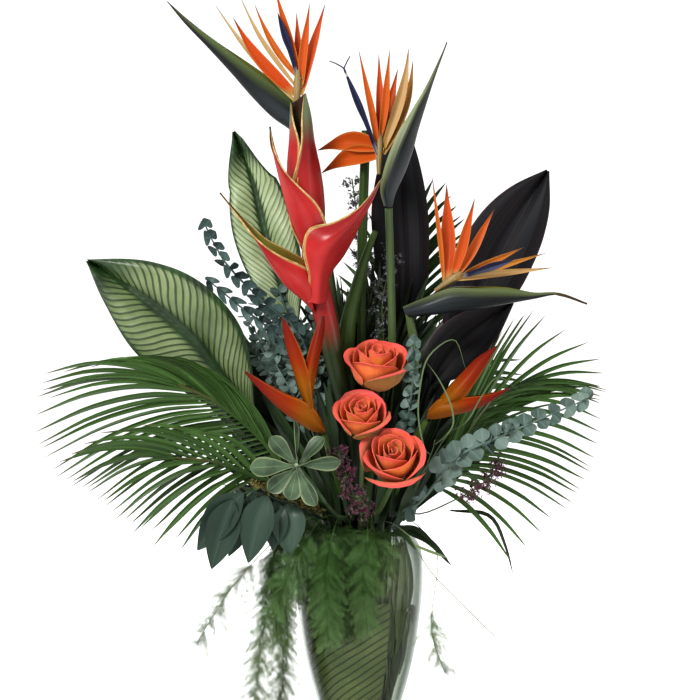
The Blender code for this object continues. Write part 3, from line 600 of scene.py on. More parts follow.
JITTER = 2.0 * MM


def between(a, b, share):
    """A limb part of the way from one limb to another."""
    mid = a.line + (b.line - a.line) * share + np.outer(a.t, luck.normal(0, JITTER, 3))
    across = a.across + (b.across - a.across) * share
    some = slice(None, None, 9)
    return Limb(mid[some], a.wide[some], a.deep[some], Vector(a.normal.mean(axis=0)), list(across[some]))

# %% [markdown]
# The copies of one solid become one piece, which gets its material, rides on the body and stands for its
# solid.

# %% Join and dress a piece
def joined(name, parts):
    bpy.ops.object.select_all(action="DESELECT")
    for part in parts:
        part.select_set(True)
    bpy.context.view_layer.objects.active = parts[0]
    bpy.ops.object.join()
    obj = bpy.context.object
    obj.name = name
    obj.data.name = name
    return obj


def modified(obj, kind, **settings):
    only(obj)
    modifier = obj.modifiers.new(kind.lower(), kind)
    for key, value in settings.items():
        setattr(modifier, key, value)
    bpy.ops.object.modifier_apply(modifier=modifier.name)
    return obj


def smooth_shaded(obj, angle=60):
    only(obj)
    bpy.ops.object.shade_smooth_by_angle(angle=math.radians(angle))
    return obj


SLOT_OF = {part["node"]: part["material_slot"] for part in frame["record"]["subparts"]}


def dressed(obj, finish, *nodes, slot=None):
    """Give a piece its material and say which solids it stands for."""
    if not obj.data.materials:
        obj.data.materials.append(finish.material)
    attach(obj, "root")
    if nodes:
        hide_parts(*nodes)
    return obj


def finished(name, parts, finish, *nodes, slot=None, thick=None, offset=0, angle=60):
    """One piece from all of its parts: joined, given a thickness, shaded, dressed and counted."""
    obj = joined(name, parts)
    if thick:
        modified(obj, "SOLIDIFY", thickness=thick, offset=offset)
    print(name, len(obj.data.polygons), "faces")
    return dressed(smooth_shaded(obj, angle), finish, *nodes, slot=slot)


# %% [markdown]
# ## Stems
# Round stems are lathed by nature: a circle drawn out along a line. One cylinder with enough rings is
# the master, and it follows each stem's line and takes its thickness.

# %% Stems
def cylinder(name, sides=12, rings=32):
    obj = started(name, bpy.ops.mesh.primitive_cylinder_add, (0, 0, 0.5), vertices=sides, radius=0.5, depth=1,
                  end_fill_type="TRIFAN")
    bpy.ops.object.mode_set(mode="EDIT")
    bpy.ops.mesh.select_all(action="SELECT")
    bpy.ops.transform.rotate(value=math.pi / 2, orient_axis="X", center_override=(0, 0, 0))
    for cut in range(1, rings):
        bpy.ops.mesh.select_all(action="SELECT")
        bpy.ops.mesh.bisect(plane_co=(0, cut / rings, 0), plane_no=(0, 1, 0))
    bpy.ops.object.mode_set(mode="OBJECT")
    layer = obj.data.uv_layers[0]
    layer.name = "UVMap"
    for face in obj.data.polygons:
        turns = [(math.atan2(obj.data.vertices[v].co.z, obj.data.vertices[v].co.x) / math.tau) % 1
                 for v in face.vertices]
        for loop, v, turn in zip(face.loop_indices, face.vertices, turns):
            layer.data[loop].uv = (turn + (max(turns) - turn > 0.5), obj.data.vertices[v].co.y)
    hide(obj)
    return obj


round_stem = cylinder("round_stem")
thin_stem = cylinder("thin_stem", sides=6, rings=24)
print("stem master:", len(round_stem.data.polygons), "faces", [round(c, 2) for c in round_stem.bound_box[0]],
      [round(c, 2) for c in round_stem.bound_box[6]])

# %% [markdown]
# ## Leaf green
# Every leaf is paler along its ribs, and no two are quite the same. `leafy` sets up what they
# share: a base colour that drifts from leaf to leaf and over each leaf, and fine lengthwise veins in the
# colour and the relief.

# %% Leaf materials
SPECKLE = 18


def leafy(name, dark, pale, slot, veins=26, roughness=0.42, tip=None, gloss=0.15, painted_lit_half=0.0):
    """dark and pale are the two ends of the leaf's own range of greens, tip is the colour of its end, and
    painted_lit_half is how much paler one half is painted than the other: a painted highlight, as if that
    half caught the light."""
    paint = Finish(name, roughness, Coat_Weight=gloss, Coat_Roughness=0.3)
    u, v = paint.uv()
    drift = paint.noise(SPECKLE, 4) * 0.5 + paint.tone() * 0.7
    streaks = paint.streaks(veins, 1.2, 2)
    middle = abs(u - 0.5).between(0.10, 0.0)
    shade = drift.between(0.25, 0.95) * 0.75 + streaks.between(0.35, 0.7) * 0.25
    colour = paint.ramp(shade, (0.0, dark), (1.0, pale))
    colour = paint.mix(middle * 0.5, colour, pale)
    # Painted highlight: one half of the leaf is painted paler, as if it caught the light.
    if painted_lit_half:
        colour = paint.mix(u.between(0.46, 0.54) * painted_lit_half, colour, pale)
    if tip:
        colour = paint.mix(v.between(0.86, 1.0), colour, tip)
    rough = streaks.between(0.2, 0.8) * 0.2 + (roughness - 0.1)
    finishes[slot] = paint.coat(colour, rough, streaks + middle * 0.6, 0.35)
    return paint


leafy("palm_green", "1e2b14", "4e7234", "palm_leaf", tip="5d5330", veins=14, painted_lit_half=0.4, gloss=0.05)
leafy("gum_silver", "40584f", "889c92", "eucalyptus_leaf", roughness=0.55, gloss=0.05)
leafy("gum_dark", "1d2d2a", "566f6a", "eucalyptus_dark", roughness=0.55, gloss=0.05)
leafy("filler_green", "162210", "3c5430", "filler", roughness=0.5)
leafy("grass_green", "465c34", "83966a", "grass_blade", veins=8)
leafy("stalk_green", "2c4410", "5c7630", "green_stalk", veins=20)
leafy("stem_green", "3a4c24", "64794a", "flower_stem", veins=16)
print("leaf finishes:", sorted(finishes))

# %% [markdown]
# ## Palm fronds
# A palm leaflet is a long narrow strip folded in a V along its middle rib, so it holds itself out stiffly.
# One half of each leaflet is painted paler than the other, a painted highlight where the folded leaflet
# would catch the light. The stalk keeps its own limb. On most fronds one more leaflet is added between
# each pair of the solid's, because a real frond is twice as full.

# %% Palm leaflet and fronds
STRIP = [(0, 0.35), (0.2, 0.95), (0.45, 1.0), (0.75, 0.7), (0.92, 0.3), (1, 0.03)]
palm_leaflet = grid("palm_leaflet", STRIP, [(-0.5, 0.0), (0, -0.22), (0.5, 0.0)], columns=2, rows=14)
LEAF_THICK = 0.35 * MM


def rows_of(stalk, leaflets):
    """The leaflets on each side of a stalk, in order along it."""
    sides = ([], [])
    for leaflet in leaflets:
        near = np.linalg.norm(stalk.line - leaflet.line[0], axis=1).argmin()
        out = (leaflet.line[-1] - leaflet.line[0]) @ stalk.across[near]
        sides[int(out > 0)].append((near, leaflet))
    return [[leaflet for _, leaflet in sorted(side, key=lambda one: one[0])] for side in sides]


def frond(node, width, extra, droop):
    """extra is the number of leaflets added in each gap, and droop the share of its rise that a leaflet's
    tip falls back."""
    stalk, leaflets = limbs(node)
    parts = [lay(thin_stem, stalk)]
    for side in rows_of(stalk, leaflets):
        whole = list(side)
        for a, b in zip(side, side[1:]):
            whole += [between(a, b, (n + 1) / (extra + 1)) for n in range(extra)]
        for limb in whole:
            wide = width * luck.uniform(0.85, 1.1)
            rise = max(limb.line[-1][2] - limb.line[0][2], 0)
            sag = luck.uniform(0, 6) * MM + droop * rise
            parts.append(lay(palm_leaflet, limb, wide, lean=luck.normal(0, 0.35), sag=sag))
    finished(node + "_leaves", parts, finishes["palm_leaf"], node, thick=LEAF_THICK, angle=40)


for node, width, extra, droop in (("palm_left", 5.2, 1, 0.5), ("palm_left_low", 5.8, 0, 0.25),
                                  ("palm_right", 5.0, 1, 0.0), ("palm_upper", 7.0, 1, 0.0),
                                  ("palm_back_left", 8.0, 1, 0.1), ("palm_back_right", 8.0, 1, 0.0)):
    frond(node, width * MM, extra, droop)

# %% [markdown]
# ## Round stems and stalks
# Bird of paradise and rose stems are plain round rods, ribbed finely along their length.

# %% Stems in the vase
for node in ("bird_1_stem", "bird_2_stem", "bird_3_stem", "rose_1_stem", "rose_2_stem", "rose_3_stem",
             "parrot_left_stem", "parrot_right_stem", "green_stalk_slim", "green_stalk_thick"):
    stem = tube(node)
    dressed(smooth_shaded(lay(round_stem, stem)), finishes[SLOT_OF[node]], node)
    print(node, "length in mm:", round(stem.length * 1000, 1))

# %% [markdown]
# ## Sheaths
# The beak of a bird of paradise and the bracts of a heliconia are the same thing: a leaf folded into a
# boat. No two are folded alike, so each is drawn as ribs that run from its foot to its tip: the back lip,
# the back wall, the keel, the front wall and the front lip. Their places are in mm from the foot of the
# solid that the sheath stands for. A smooth skin goes through the ribs, and its map runs from the back
# lip to the front lip, so that a finish can colour the lips.

# %% Sheath skins
spathe = Finish("spathe_skin", 0.45, Coat_Weight=0.05, Coat_Roughness=0.3)
u, v = spathe.uv()
streaks = spathe.streaks(60, 1.5)
skin = spathe.mix(spathe.noise(30, 4).between(0.35, 0.7) * 0.6, "0c0f10", "181e1f")
# Painted highlight: a soft pale sheen on the wall near the heel, broken up by the streaks.
sheen = v.between(0.5, 0.12) * u.between(0.55, 0.66) * u.between(0.95, 0.7)
skin = spathe.mix(sheen * (streaks * 0.5 + 0.4), skin, "4a5458")
lip = spathe.mix(spathe.tone(), "4c5a2e", "8a926c")
skin = spathe.mix((u + streaks * 0.08 + v * 0.25).between(0.92, 1.10), skin, lip)
skin = spathe.mix(v.between(0.8, 1.0) * 0.8, skin, "3f3d2a")
finishes["bird_spathe"] = spathe.coat(skin, streaks.between(0.2, 0.8) * 0.2 + 0.3, streaks, 0.25)


def heliconia_skin(name, lipped):
    """The waxy red of a heliconia. A bract has a gold lip, a grey-green tip and painted shade, a darker red
    towards the top of its front wall; the stalk has none of these.
    """
    skin = Finish(name, 0.4, Coat_Weight=0.1, Coat_Roughness=0.25)
    u, v = skin.uv()
    streaks = skin.streaks(50, 1.5)
    red = skin.mix(skin.noise(22, 3).between(0.3, 0.7), "ae2022", "cc3430")
    if lipped:
        # Painted shade: the upper part of the front wall is painted a darker red.
        red = skin.mix((v + skin.tone() * 0.25).between(0.45, 1.0) * u.between(0.55, 0.75), red, "6c1016")
    red = skin.mix(streaks.between(0.4, 0.75) * 0.15, red, "d83c38")
    if lipped:
        red = skin.mix((v + skin.tone() * 0.3 + streaks * 0.1).between(0.98, 1.2), red, "6c7a5c")
        red = skin.mix((abs(u - 0.5) * 2).between(0.93, 0.97), red, "c9a36a")
    else:
        red = skin.mix(0.35, red, "6c1016")
        red = skin.mix((v + streaks * 0.08).between(0.90, 0.82), red, "2e3c1c")
    return skin.coat(red, skin.noise(60).between(0.3, 0.7) * 0.15 + 0.28, streaks, 0.2)


finishes["heliconia_red"] = heliconia_skin("heliconia_bract", True)

lining = Finish("sheath_lining", 0.5)
u, v = lining.uv()
drying = lining.ramp(v + lining.noise(40) * 0.2, (0.1, "b98a3e"), (0.6, "8d8a3c"), (1.0, "3f2a1c"))
lining.coat(drying, lining.noise(80) * 0.3 + 0.3)

golden = Finish("sheath_lip", 0.4)
grain = golden.noise(180)
golden.coat(golden.mix(grain.between(0.35, 0.65), "b58a4c", "e0c088"), grain * 0.3 + 0.3)

# %% Build a sheath through its ribs
def boat(name, foot, ribs, columns=24, rows=36):
    obj = started(name, bpy.ops.mesh.primitive_grid_add, x_subdivisions=columns, y_subdivisions=rows, size=1)
    flat = places_of(obj.data) + 0.5
    ribs = np.array(ribs, float) * MM
    stations = np.linspace(0, 1, ribs.shape[1])
    along = [curve_through(rib, stations, flat[:, 1]) for rib in ribs]
    made = np.empty_like(flat)
    for n, share in enumerate(flat[:, 0]):
        across = np.array([line[n] for line in along])
        made[n] = curve_through(across, np.linspace(0, 1, len(ribs)), np.array([share]))[0]
    obj.data.vertices.foreach_set("co", (made + foot).ravel())
    keel = abs(flat[:, 0] - 0.5) < 0.01
    away = made[keel] - made.mean(axis=0)
    facing = np.array([v.normal[:] for v in obj.data.vertices])[keel]
    if (away * facing).sum() < 0:
        obj.data.flip_normals()
    return obj


BEAK_WALL = 0.9 * MM
BRACT_WALL = 1.2 * MM
LIP_WIDTH = 2.0 * MM


def sheathed(node, tone, ribs, wall):
    """A sheath that stands for its solid. A bract's thicker wall ends in a rolled golden lip."""
    foot = sheath(node).line[0]
    skin = finishes[SLOT_OF[node]]
    obj = boat(node + "_skin", foot, ribs)
    toned(obj, tone)
    modified(painted(painted(obj, skin), lining), "SOLIDIFY", thickness=wall, offset=-1, material_offset=1)
    if wall == BRACT_WALL:
        lips = [foot + np.array(rib) * MM for rib in (ribs[0], ribs[-1])]
        widths = [LIP_WIDTH] * (len(lips[0]) - 1) + [LIP_WIDTH / 4]
        edges = [lay(thin_stem, Limb(line, widths, [LIP_WIDTH] * len(line))) for line in lips]
        obj = joined(node + "_skin", [obj] + [painted(edge, golden) for edge in edges])
    print(node, len(obj.data.polygons), "faces")
    return dressed(smooth_shaded(obj), skin, node)


# %% [markdown]
# ## The beaks of the birds of paradise
# A beak lies almost level and ends in a needle. Its back is slate, with a soft painted sheen, a painted
# highlight, at the heel, and the lip that opens for the flowers is green.

# %% Beaks
sheathed("bird_1_spathe", 0.1, (
    ((4, 5, 3), (-2, 5, 33), (-21, 3, 54), (-42, -1, 71), (-64, -6, 86), (-93, -13, 105),
     (-120, -20, 125), (-143, -24, 145)),
    ((0, 7, 0), (-8, 11, 23), (-28, 10, 41), (-50, 5, 60), (-71, -2, 79), (-97, -11, 102),
     (-123, -19, 125), (-143, -24, 145)),
    ((-2, 0, -3), (-15, -1, 12), (-36, -3, 27), (-57, -6, 48), (-78, -10, 72), (-102, -15, 98),
     (-126, -20, 123), (-144, -24, 145)),
    ((0, -9, 0), (-9, -15, 21), (-29, -17, 38), (-51, -18, 56), (-73, -19, 77), (-99, -20, 101),
     (-123, -22, 124), (-143, -24, 145)),
    ((3, -6, 3), (-3, -11, 32), (-22, -14, 50), (-44, -17, 67), (-65, -19, 83), (-93, -21, 104),
     (-120, -22, 124), (-143, -24, 145))), BEAK_WALL)
sheathed("bird_2_spathe", 0.8, (
    ((-4, 5, 1), (-6, 11, 19), (-2, 13, 38), (4, 11, 56), (14, 7, 80), (27, 1, 102), (43, -5, 130),
     (60, -10, 168)),
    ((1, 9, 0), (2, 17, 17), (9, 17, 36), (16, 13, 57), (24, 8, 80), (34, 1, 104), (45, -6, 130),
     (60, -10, 168)),
    ((4, 0, -1), (8, 3, 14), (17, 5, 34), (25, 3, 56), (31, 0, 79), (39, -3, 105), (47, -6, 130),
     (60, -10, 168)),
    ((-1, -8, -1), (-1, -17, 14), (5, -21, 33), (12, -22, 54), (21, -21, 77), (31, -17, 102),
     (44, -12, 128), (60, -10, 168)),
    ((-5, -3, 0), (-9, -11, 16), (-6, -17, 34), (0, -19, 53), (10, -19, 76), (24, -17, 99),
     (41, -13, 128), (60, -10, 168))), BEAK_WALL)
sheathed("bird_3_spathe", 0.3, (
    ((-3, 5, 3), (17, 7, 13), (43, 7, 23), (72, 3, 24), (100, -3, 23), (126, -9, 18), (152, -14, 17),
     (181, -15, 7)),
    ((-1, 9, -3), (19, 13, 3), (44, 11, 10), (73, 5, 12), (101, -3, 13), (126, -9, 14),
     (152, -15, 16), (181, -15, 6)),
    ((0, 1, -8), (19, -3, -6), (43, -6, -3), (72, -9, 1), (100, -11, 6), (127, -13, 11),
     (152, -15, 15), (181, -15, 6)),
    ((-5, -7, -3), (15, -19, 2), (42, -24, 9), (70, -25, 11), (99, -22, 13), (125, -18, 14),
     (152, -15, 16), (181, -15, 6)),
    ((-7, -5, 3), (14, -13, 12), (41, -19, 22), (69, -21, 22), (98, -19, 22), (125, -17, 18),
     (152, -15, 17), (181, -15, 6))), BEAK_WALL)

# %% [markdown]
# ## The bracts of the big heliconia
# The top bract stands upright and is still almost shut, with its slit towards the viewer, so it has a
# sixth rib. The left one wraps it, the right one swells out round the stalk and rolls its lip, and the
# low one shows its inside over its front lip.

# %% Heliconia bracts
sheathed("heliconia_bract_top", 0.95, (
    ((-2, -11, -9), (-8, -15, 15), (-11, -16, 43), (-9, -15, 73), (-9, -9, 96), (-15, -2, 118),
     (-18, 4, 138)),
    ((-6, 0, -8), (-16, 1, 15), (-22, 3, 43), (-22, 4, 74), (-20, 5, 100), (-19, 5, 121), (-18, 5, 138)),
    ((-1, 9, -8), (0, 17, 16), (-2, 23, 44), (-4, 23, 75), (-6, 19, 101), (-9, 13, 121), (-11, 7, 142)),
    ((6, 0, -8), (17, 1, 15), (17, 3, 43), (13, 4, 71), (7, 5, 98), (3, 5, 126), (-3, 5, 148)),
    ((1, -11, -9), (4, -15, 15), (3, -17, 43), (3, -15, 71), (3, -9, 97), (1, -2, 122), (-2, 4, 147)),
    ((-8, -12, -9), (-18, -12, 15), (-19, -13, 43), (-11, -18, 72), (-6, -14, 97), (-6, -6, 120),
     (-4, 4, 147))), BRACT_WALL)
sheathed("heliconia_bract_left", 0.5, (
    ((20, 15, 9), (17, 21, 26), (4, 17, 48), (-7, 1, 68), (-17, -13, 87), (-24, -21, 105), (-29, -23, 129)),
    ((9, 11, 3), (1, 13, 20), (-8, 7, 45), (-15, -5, 68), (-22, -15, 90), (-27, -22, 109), (-29, -23, 129)),
    ((4, -1, 1), (-3, -7, 18), (-11, -11, 42), (-18, -15, 68), (-24, -19, 92), (-28, -22, 112),
     (-30, -23, 129)),
    ((16, -19, 7), (14, -23, 22), (6, -27, 42), (-7, -29, 64), (-19, -27, 87), (-26, -25, 107),
     (-29, -23, 129)),
    ((28, -17, 22), (27, -21, 32), (19, -25, 49), (2, -27, 66), (-14, -26, 83), (-24, -25, 103),
     (-29, -23, 129))), BRACT_WALL)
sheathed("heliconia_bract_right", 0.2, (
    ((-15, 6, -19), (-14, 12, 10), (-15, 14, 34), (-9, 12, 49), (12, 4, 57), (34, -8, 72), (57, -16, 106)),
    ((-7, 8, -19), (-3, 14, 5), (5, 16, 28), (14, 12, 43), (26, 2, 57), (41, -10, 76), (57, -16, 106)),
    ((0, 0, -21), (4, 0, 6), (17, -2, 25), (27, -6, 42), (36, -10, 61), (47, -14, 82), (57, -16, 105)),
    ((-9, -12, -23), (-6, -18, 4), (-2, -28, 27), (7, -32, 42), (23, -28, 56), (40, -22, 77),
     (57, -16, 106)),
    ((-18, -8, -21), (-18, -14, 6), (-24, -18, 34), (-18, -20, 53), (7, -22, 60), (32, -20, 74),
     (57, -16, 106))), BRACT_WALL)
sheathed("heliconia_bract_low", 0.8, (
    ((1, 6, 28), (-10, 2, 34), (-25, -4, 42), (-42, -12, 51), (-57, -18, 64), (-71, -22, 78),
     (-89, -24, 98)),
    ((4, 12, 4), (-8, 10, 13), (-23, 2, 26), (-39, -8, 39), (-54, -17, 57), (-69, -22, 75), (-89, -24, 98)),
    ((7, 0, -24), (-7, -8, -10), (-23, -14, 4), (-38, -18, 25), (-52, -22, 49), (-69, -24, 72),
     (-88, -24, 97)),
    ((4, -14, -3), (-9, -22, 7), (-24, -28, 19), (-40, -28, 34), (-54, -26, 52), (-70, -25, 73),
     (-89, -24, 98)),
    ((2, -12, 20), (-10, -18, 26), (-26, -24, 33), (-42, -26, 43), (-56, -26, 56), (-70, -25, 74),
     (-89, -24, 98))), BRACT_WALL)

stalk_limb = tube("heliconia_stem")
stalk_limb.wide = stalk_limb.wide * np.interp(stalk_limb.t, [0.5, 0.8, 1], [1.0, 1.3, 1.4])
stalk = lay(round_stem, stalk_limb)
dressed(smooth_shaded(stalk), heliconia_skin("heliconia_stalk", False), "heliconia_stem")

# %% [markdown]
# ## Bird of paradise flowers
# Each bird stands a crest of orange sepals up from its beak, with a narrow blue arrow among them. Sepals
# are folded lengthwise and end in a dry brown point; the oldest have faded to cream.

# %% Sepals and arrows
FOLD = [(-0.5, 0.12), (-0.3, 0.02), (0, -0.16), (0.3, 0.02), (0.5, 0.12)]
SEPAL = [(0, 0.42), (0.2, 0.85), (0.4, 1.0), (0.62, 0.78), (0.82, 0.34), (0.94, 0.12), (1, 0.02)]
sepal = grid("sepal", SEPAL, FOLD, columns=6, rows=24)
arrow = grid("arrow", [(0, 0.6), (0.4, 0.8), (0.62, 1.15), (0.8, 0.8), (1, 0.04)], FOLD, columns=4, rows=20)

orange = Finish("orange_sepal", 0.5)
u, v = orange.uv()
streaks = orange.streaks(26, 1.2)
hue = orange.ramp(orange.tone(), (0.0, "c43e0c"), (0.45, "cb5c12"), (0.7, "c58434"), (1.0, "c9bb8c"))
hue = orange.mix(streaks.between(0.45, 0.7) * 0.3, hue, "d46e24")
hue = orange.mix((abs(u - 0.5) * 2).between(0.7, 1.0) * 0.45, hue, "d8984c")
hue = orange.mix(v.between(0.14, 0.0), hue, "c9a25c")
hue = orange.mix((v + streaks * 0.1).between(0.88, 1.04) * 0.85, hue, "5b3f2a")
orange.coat(hue, streaks.between(0.2, 0.8) * 0.2 + 0.4, streaks)

navy = Finish("blue_arrow", 0.45)
u, v = navy.uv()
dusk = navy.mix(navy.streaks(16, 2).between(0.35, 0.7), "0f1122", "30345e")
navy.coat(navy.mix(v.between(0.2, 0.0), dusk, "cfd2d6"), navy.noise(80).between(0.3, 0.7) * 0.2 + 0.3)

cream = Finish("cream_foot", 0.5)
streaks = cream.streaks(18, 1.2)
cream.coat(cream.mix(streaks.between(0.35, 0.7), "7a6a44", "b89c6c"), streaks * 0.3 + 0.35)

# %% [markdown]
# Every sepal has its own tone and width, as a crest opens one flower at a time.

# %% Crests of the three birds
# The limbs come sorted from left to right. Each has its tone, from orange at 0 to cream at 1, and its
# width in mm. A tone of None is the blue arrow.
BIRDS = {"bird_1": ((0.95, 6), (0.15, 13), (0.9, 5), (0.5, 7), (0.35, 9), (None, 6.5), (0.2, 8), (0.3, 9),
                    (0.1, 10)),
         "bird_2": ((0.3, 21), (0.35, 21), (None, 6), (0.4, 7), (0.1, 9), (0.45, 8), (0.2, 10), (0.85, 11),
                    (0.75, 10)),
         "bird_3": ((0.5, 5), (0.15, 15), (0.25, 11), (0.35, 10), (None, 7), (0.6, 8), (0.7, 7), (0.85, 7))}
# Some sepals bow out of their straight line, by so many mm at their middle.
BOWS = {"bird_1": {0: (-4, 0, -3), 1: (-5, 0, -5), 2: (-5, 0, -3), 3: (-4, 0, -3)},
        "bird_2": {0: (0, 0, 8), 1: (0, 0, 8), 7: (6, 0, 0), 8: (8, 0, 0)}, "bird_3": {}}
for bird, tones in BIRDS.items():
    parts, found = [], petals_of(bird + "_flowers")
    for n, limb in enumerate(found):
        limb.line = limb.line + np.outer(np.sin(limb.t * math.pi), BOWS[bird].get(n, (0, 0, 0))) * MM
    for limb, (tone, width) in zip(found, tones):
        if tone is None:
            parts.append(painted(lay(arrow, limb, width * MM), navy))
            blade = limb
        else:
            parts.append(painted(lay(sepal, limb, width * MM, tone=tone), orange))
    roots = sorted([limb.line[0] for limb in found], key=lambda place: place[2])
    low, high = roots[0], roots[-1]
    girth = np.array([4, 6, 7, 4]) * MM
    foot = Limb([low - (high - low) * 0.7, low, high, high + (high - low) * 0.4], girth, girth)
    parts.append(painted(lay(round_stem, foot), cream))
    if bird == "bird_2":  # its arrow has opened into two threads
        tip = blade.line[-1]
        for reach in np.array(((-15, -2, 8), (6, -2, 13))) * MM:
            places = [blade.line[-6], tip, tip + reach * 0.5 + (0, 0, 1 * MM), tip + reach]
            thread = Limb(places, np.array([1.4, 1.2, 0.9, 0.6]) * MM, [MM] * 4)
            parts.append(painted(lay(thin_stem, thread), navy))
    finished(bird + "_flowers_petals", parts, orange, bird + "_flowers", thick=0.5 * MM)

# %% [markdown]
# ## Parrot heliconias
# These small heliconias have two or three narrow bracts on one throat, ochre below and orange-red above.
# Each bract is a boat again, drawn through its ribs.

# %% Parrots
parrot = Finish("parrot_skin", 0.55, Specular_IOR_Level=0.06)
u, v = parrot.uv()
streaks = parrot.streaks(40, 1.5)
warm = parrot.ramp(v + streaks * 0.25, (0.10, "844a06"), (0.45, "965808"), (0.68, "953408"), (1.0, "7c1e10"))
warm = parrot.mix((abs(u - 0.5) * 2).between(0.90, 0.97) * 0.5, warm, "b86c30")
warm = parrot.mix(v.between(0.92, 1.0) * 0.7, warm, "4a2a26")
parrot.coat(warm, streaks.between(0.2, 0.8) * 0.15 + 0.35, streaks, 0.2)
PARROTS = {
    "parrot_left_flower": (
       (((1, 4, 5), (-9, 4, 24), (-22, 2, 33), (-38, -2, 40), (-57, -7, 50), (-79, -11, 63)),
        ((1, 6, 1), (-10, 6, 11), (-25, 4, 20), (-41, -2, 31), (-59, -7, 44), (-79, -11, 62)),
        ((1, 0, -1), (-11, -2, 1), (-26, -6, 10), (-43, -10, 23), (-60, -12, 39), (-80, -12, 61)),
        ((1, -8, 2), (-10, -14, 11), (-24, -19, 21), (-40, -20, 32), (-58, -17, 44), (-79, -13, 62)),
        ((1, -5, 3), (-8, -11, 22), (-21, -16, 33), (-37, -18, 39), (-56, -16, 49), (-78, -13, 63))),
       (((-10, 0, 16), (-13, 2, 36), (-16, 2, 56), (-22, 0, 76), (-30, -3, 95), (-41, -7, 116)),
        ((-12, 2, 15), (-20, 4, 36), (-25, 4, 56), (-31, 0, 75), (-37, -3, 95), (-42, -7, 116)),
        ((-14, -4, 14), (-23, -6, 37), (-29, -8, 56), (-35, -8, 75), (-40, -8, 95), (-43, -8, 116)),
        ((-12, -12, 16), (-18, -17, 37), (-23, -18, 57), (-29, -16, 76), (-35, -13, 95), (-42, -9, 116)),
        ((-9, -10, 17), (-12, -14, 37), (-14, -16, 56), (-20, -15, 76), (-28, -13, 95), (-40, -9, 116))),
       (((-15, 0, 16), (-18, 2, 36), (-19, 2, 54), (-16, 0, 73), (-11, -3, 95), (-2, -5, 118)),
        ((-12, 3, 17), (-15, 6, 36), (-13, 6, 54), (-9, 3, 75), (-5, -2, 96), (0, -5, 118)),
        ((-8, -4, 18), (-11, -5, 37), (-8, -6, 56), (-4, -6, 78), (0, -6, 98), (1, -6, 118)),
        ((-12, -11, 17), (-16, -15, 37), (-15, -17, 55), (-11, -15, 75), (-6, -12, 96), (-1, -7, 118)),
        ((-16, -7, 17), (-20, -9, 37), (-22, -10, 54), (-18, -10, 73), (-12, -9, 95), (-3, -7, 118))),
    ),
    "parrot_right_flower": (
       (((7, 4, 2), (23, 4, 15), (35, 2, 24), (46, -2, 40), (57, -6, 56), (70, -10, 75)),
        ((3, 6, 4), (18, 8, 19), (28, 4, 30), (41, 0, 46), (53, -5, 61), (70, -10, 76)),
        ((1, 0, 6), (12, -2, 22), (23, -5, 36), (37, -8, 51), (50, -10, 64), (70, -10, 76)),
        ((3, -9, 4), (16, -17, 18), (28, -21, 30), (41, -21, 45), (54, -17, 60), (70, -11, 76)),
        ((7, -6, 1), (23, -12, 14), (36, -16, 23), (47, -17, 38), (58, -15, 55), (70, -11, 75))),
       (((1, 4, 10), (12, 4, 21), (27, 2, 22), (43, -2, 24), (61, -6, 27), (83, -10, 33)),
        ((0, 6, 5), (12, 8, 11), (29, 4, 13), (46, 0, 16), (61, -5, 22), (83, -10, 32)),
        ((-1, 0, 0), (13, -2, 1), (29, -4, 5), (46, -7, 10), (62, -9, 18), (83, -10, 32)),
        ((0, -10, 6), (11, -17, 11), (27, -21, 13), (44, -20, 17), (61, -16, 22), (83, -11, 32)),
        ((1, -6, 10), (12, -10, 21), (27, -14, 22), (43, -16, 24), (61, -14, 26), (83, -11, 33))),
    )}
for node, bracts in PARROTS.items():
    throat = limbs(node)[0]
    parts = [boat(node + "_bract", throat.line[0], ribs, columns=16, rows=24) for ribs in bracts]
    finished(node + "_bracts", parts, parrot, node, thick=0.8 * MM, offset=-1)

# %% [markdown]
# ## Broad leaves
# Each broad leaf is one long stalk that opens into a blade. The blade is a fine grid that takes the
# solid's width at each place, folds a little along its midrib and waves at its margins. The variegated
# leaves are sage with a dark feathered midrib, dark side veins and a dark margin; the ti leaves are
# nearly black, with red streaks of their own and a painted sheen, wide paler blue-grey streaks that
# stand in for reflected light.

# %% Variegated and ti leaf finishes
variegated = Finish("variegated_skin", 0.4, Coat_Weight=0.25, Coat_Roughness=0.3)
u, v = variegated.uv()
aside = abs(u - 0.5) * 2
wobble = variegated.noise(14, 3) - 0.5
sweep = v * 25 - aside * (8.0 - v * 4.0) + wobble * 1.4
wave = (sweep * math.tau).math("SINE")
vein = wave.between(0.25, 0.8) * aside.between(0.0, 0.2)
cloud = variegated.noise(20, 4).between(0.3, 0.7)
field = variegated.mix(cloud, "56683c", "8d9c6e")
bright = variegated.mix(cloud, linear("6c7a52", 0.85), linear("97a284", 0.95))
field = variegated.mix(variegated.tone(), field, bright)
field = variegated.mix(vein * (0.9 - variegated.tone() * 0.45), field, "2c4222")
dark = variegated.mix(variegated.noise(40, 3).between(0.3, 0.7), "1f3218", "35522a")
feather = (aside - vein * 0.10 + wobble * 0.12).between(0.21, 0.10)
margin = (aside + u * 0.08 + vein * 0.04 + wobble * 0.06).between(0.88, 0.96)
tip = (v + aside * 0.05 + wobble * 0.2 + vein * 0.04).between(0.80, 0.93)
covered = feather.math("MAXIMUM", margin).math("MAXIMUM", tip)
finishes["variegated_leaf"] = variegated.coat(variegated.mix(covered, field, dark), wobble * 0.3 + 0.42,
                                              wave * 0.6 + wobble, 0.45, 0.6 * MM)

ti = Finish("ti_skin", 0.5, Specular_IOR_Level=0.06)
u, v = ti.uv()
aside = abs(u - 0.5) * 2
fine = ti.streaks(34, 1.2, 4)
wide_band = ti.streaks(7, 0.8, 2)
skin = ti.mix(fine.between(0.3, 0.72), "1a181a", "302d2f")
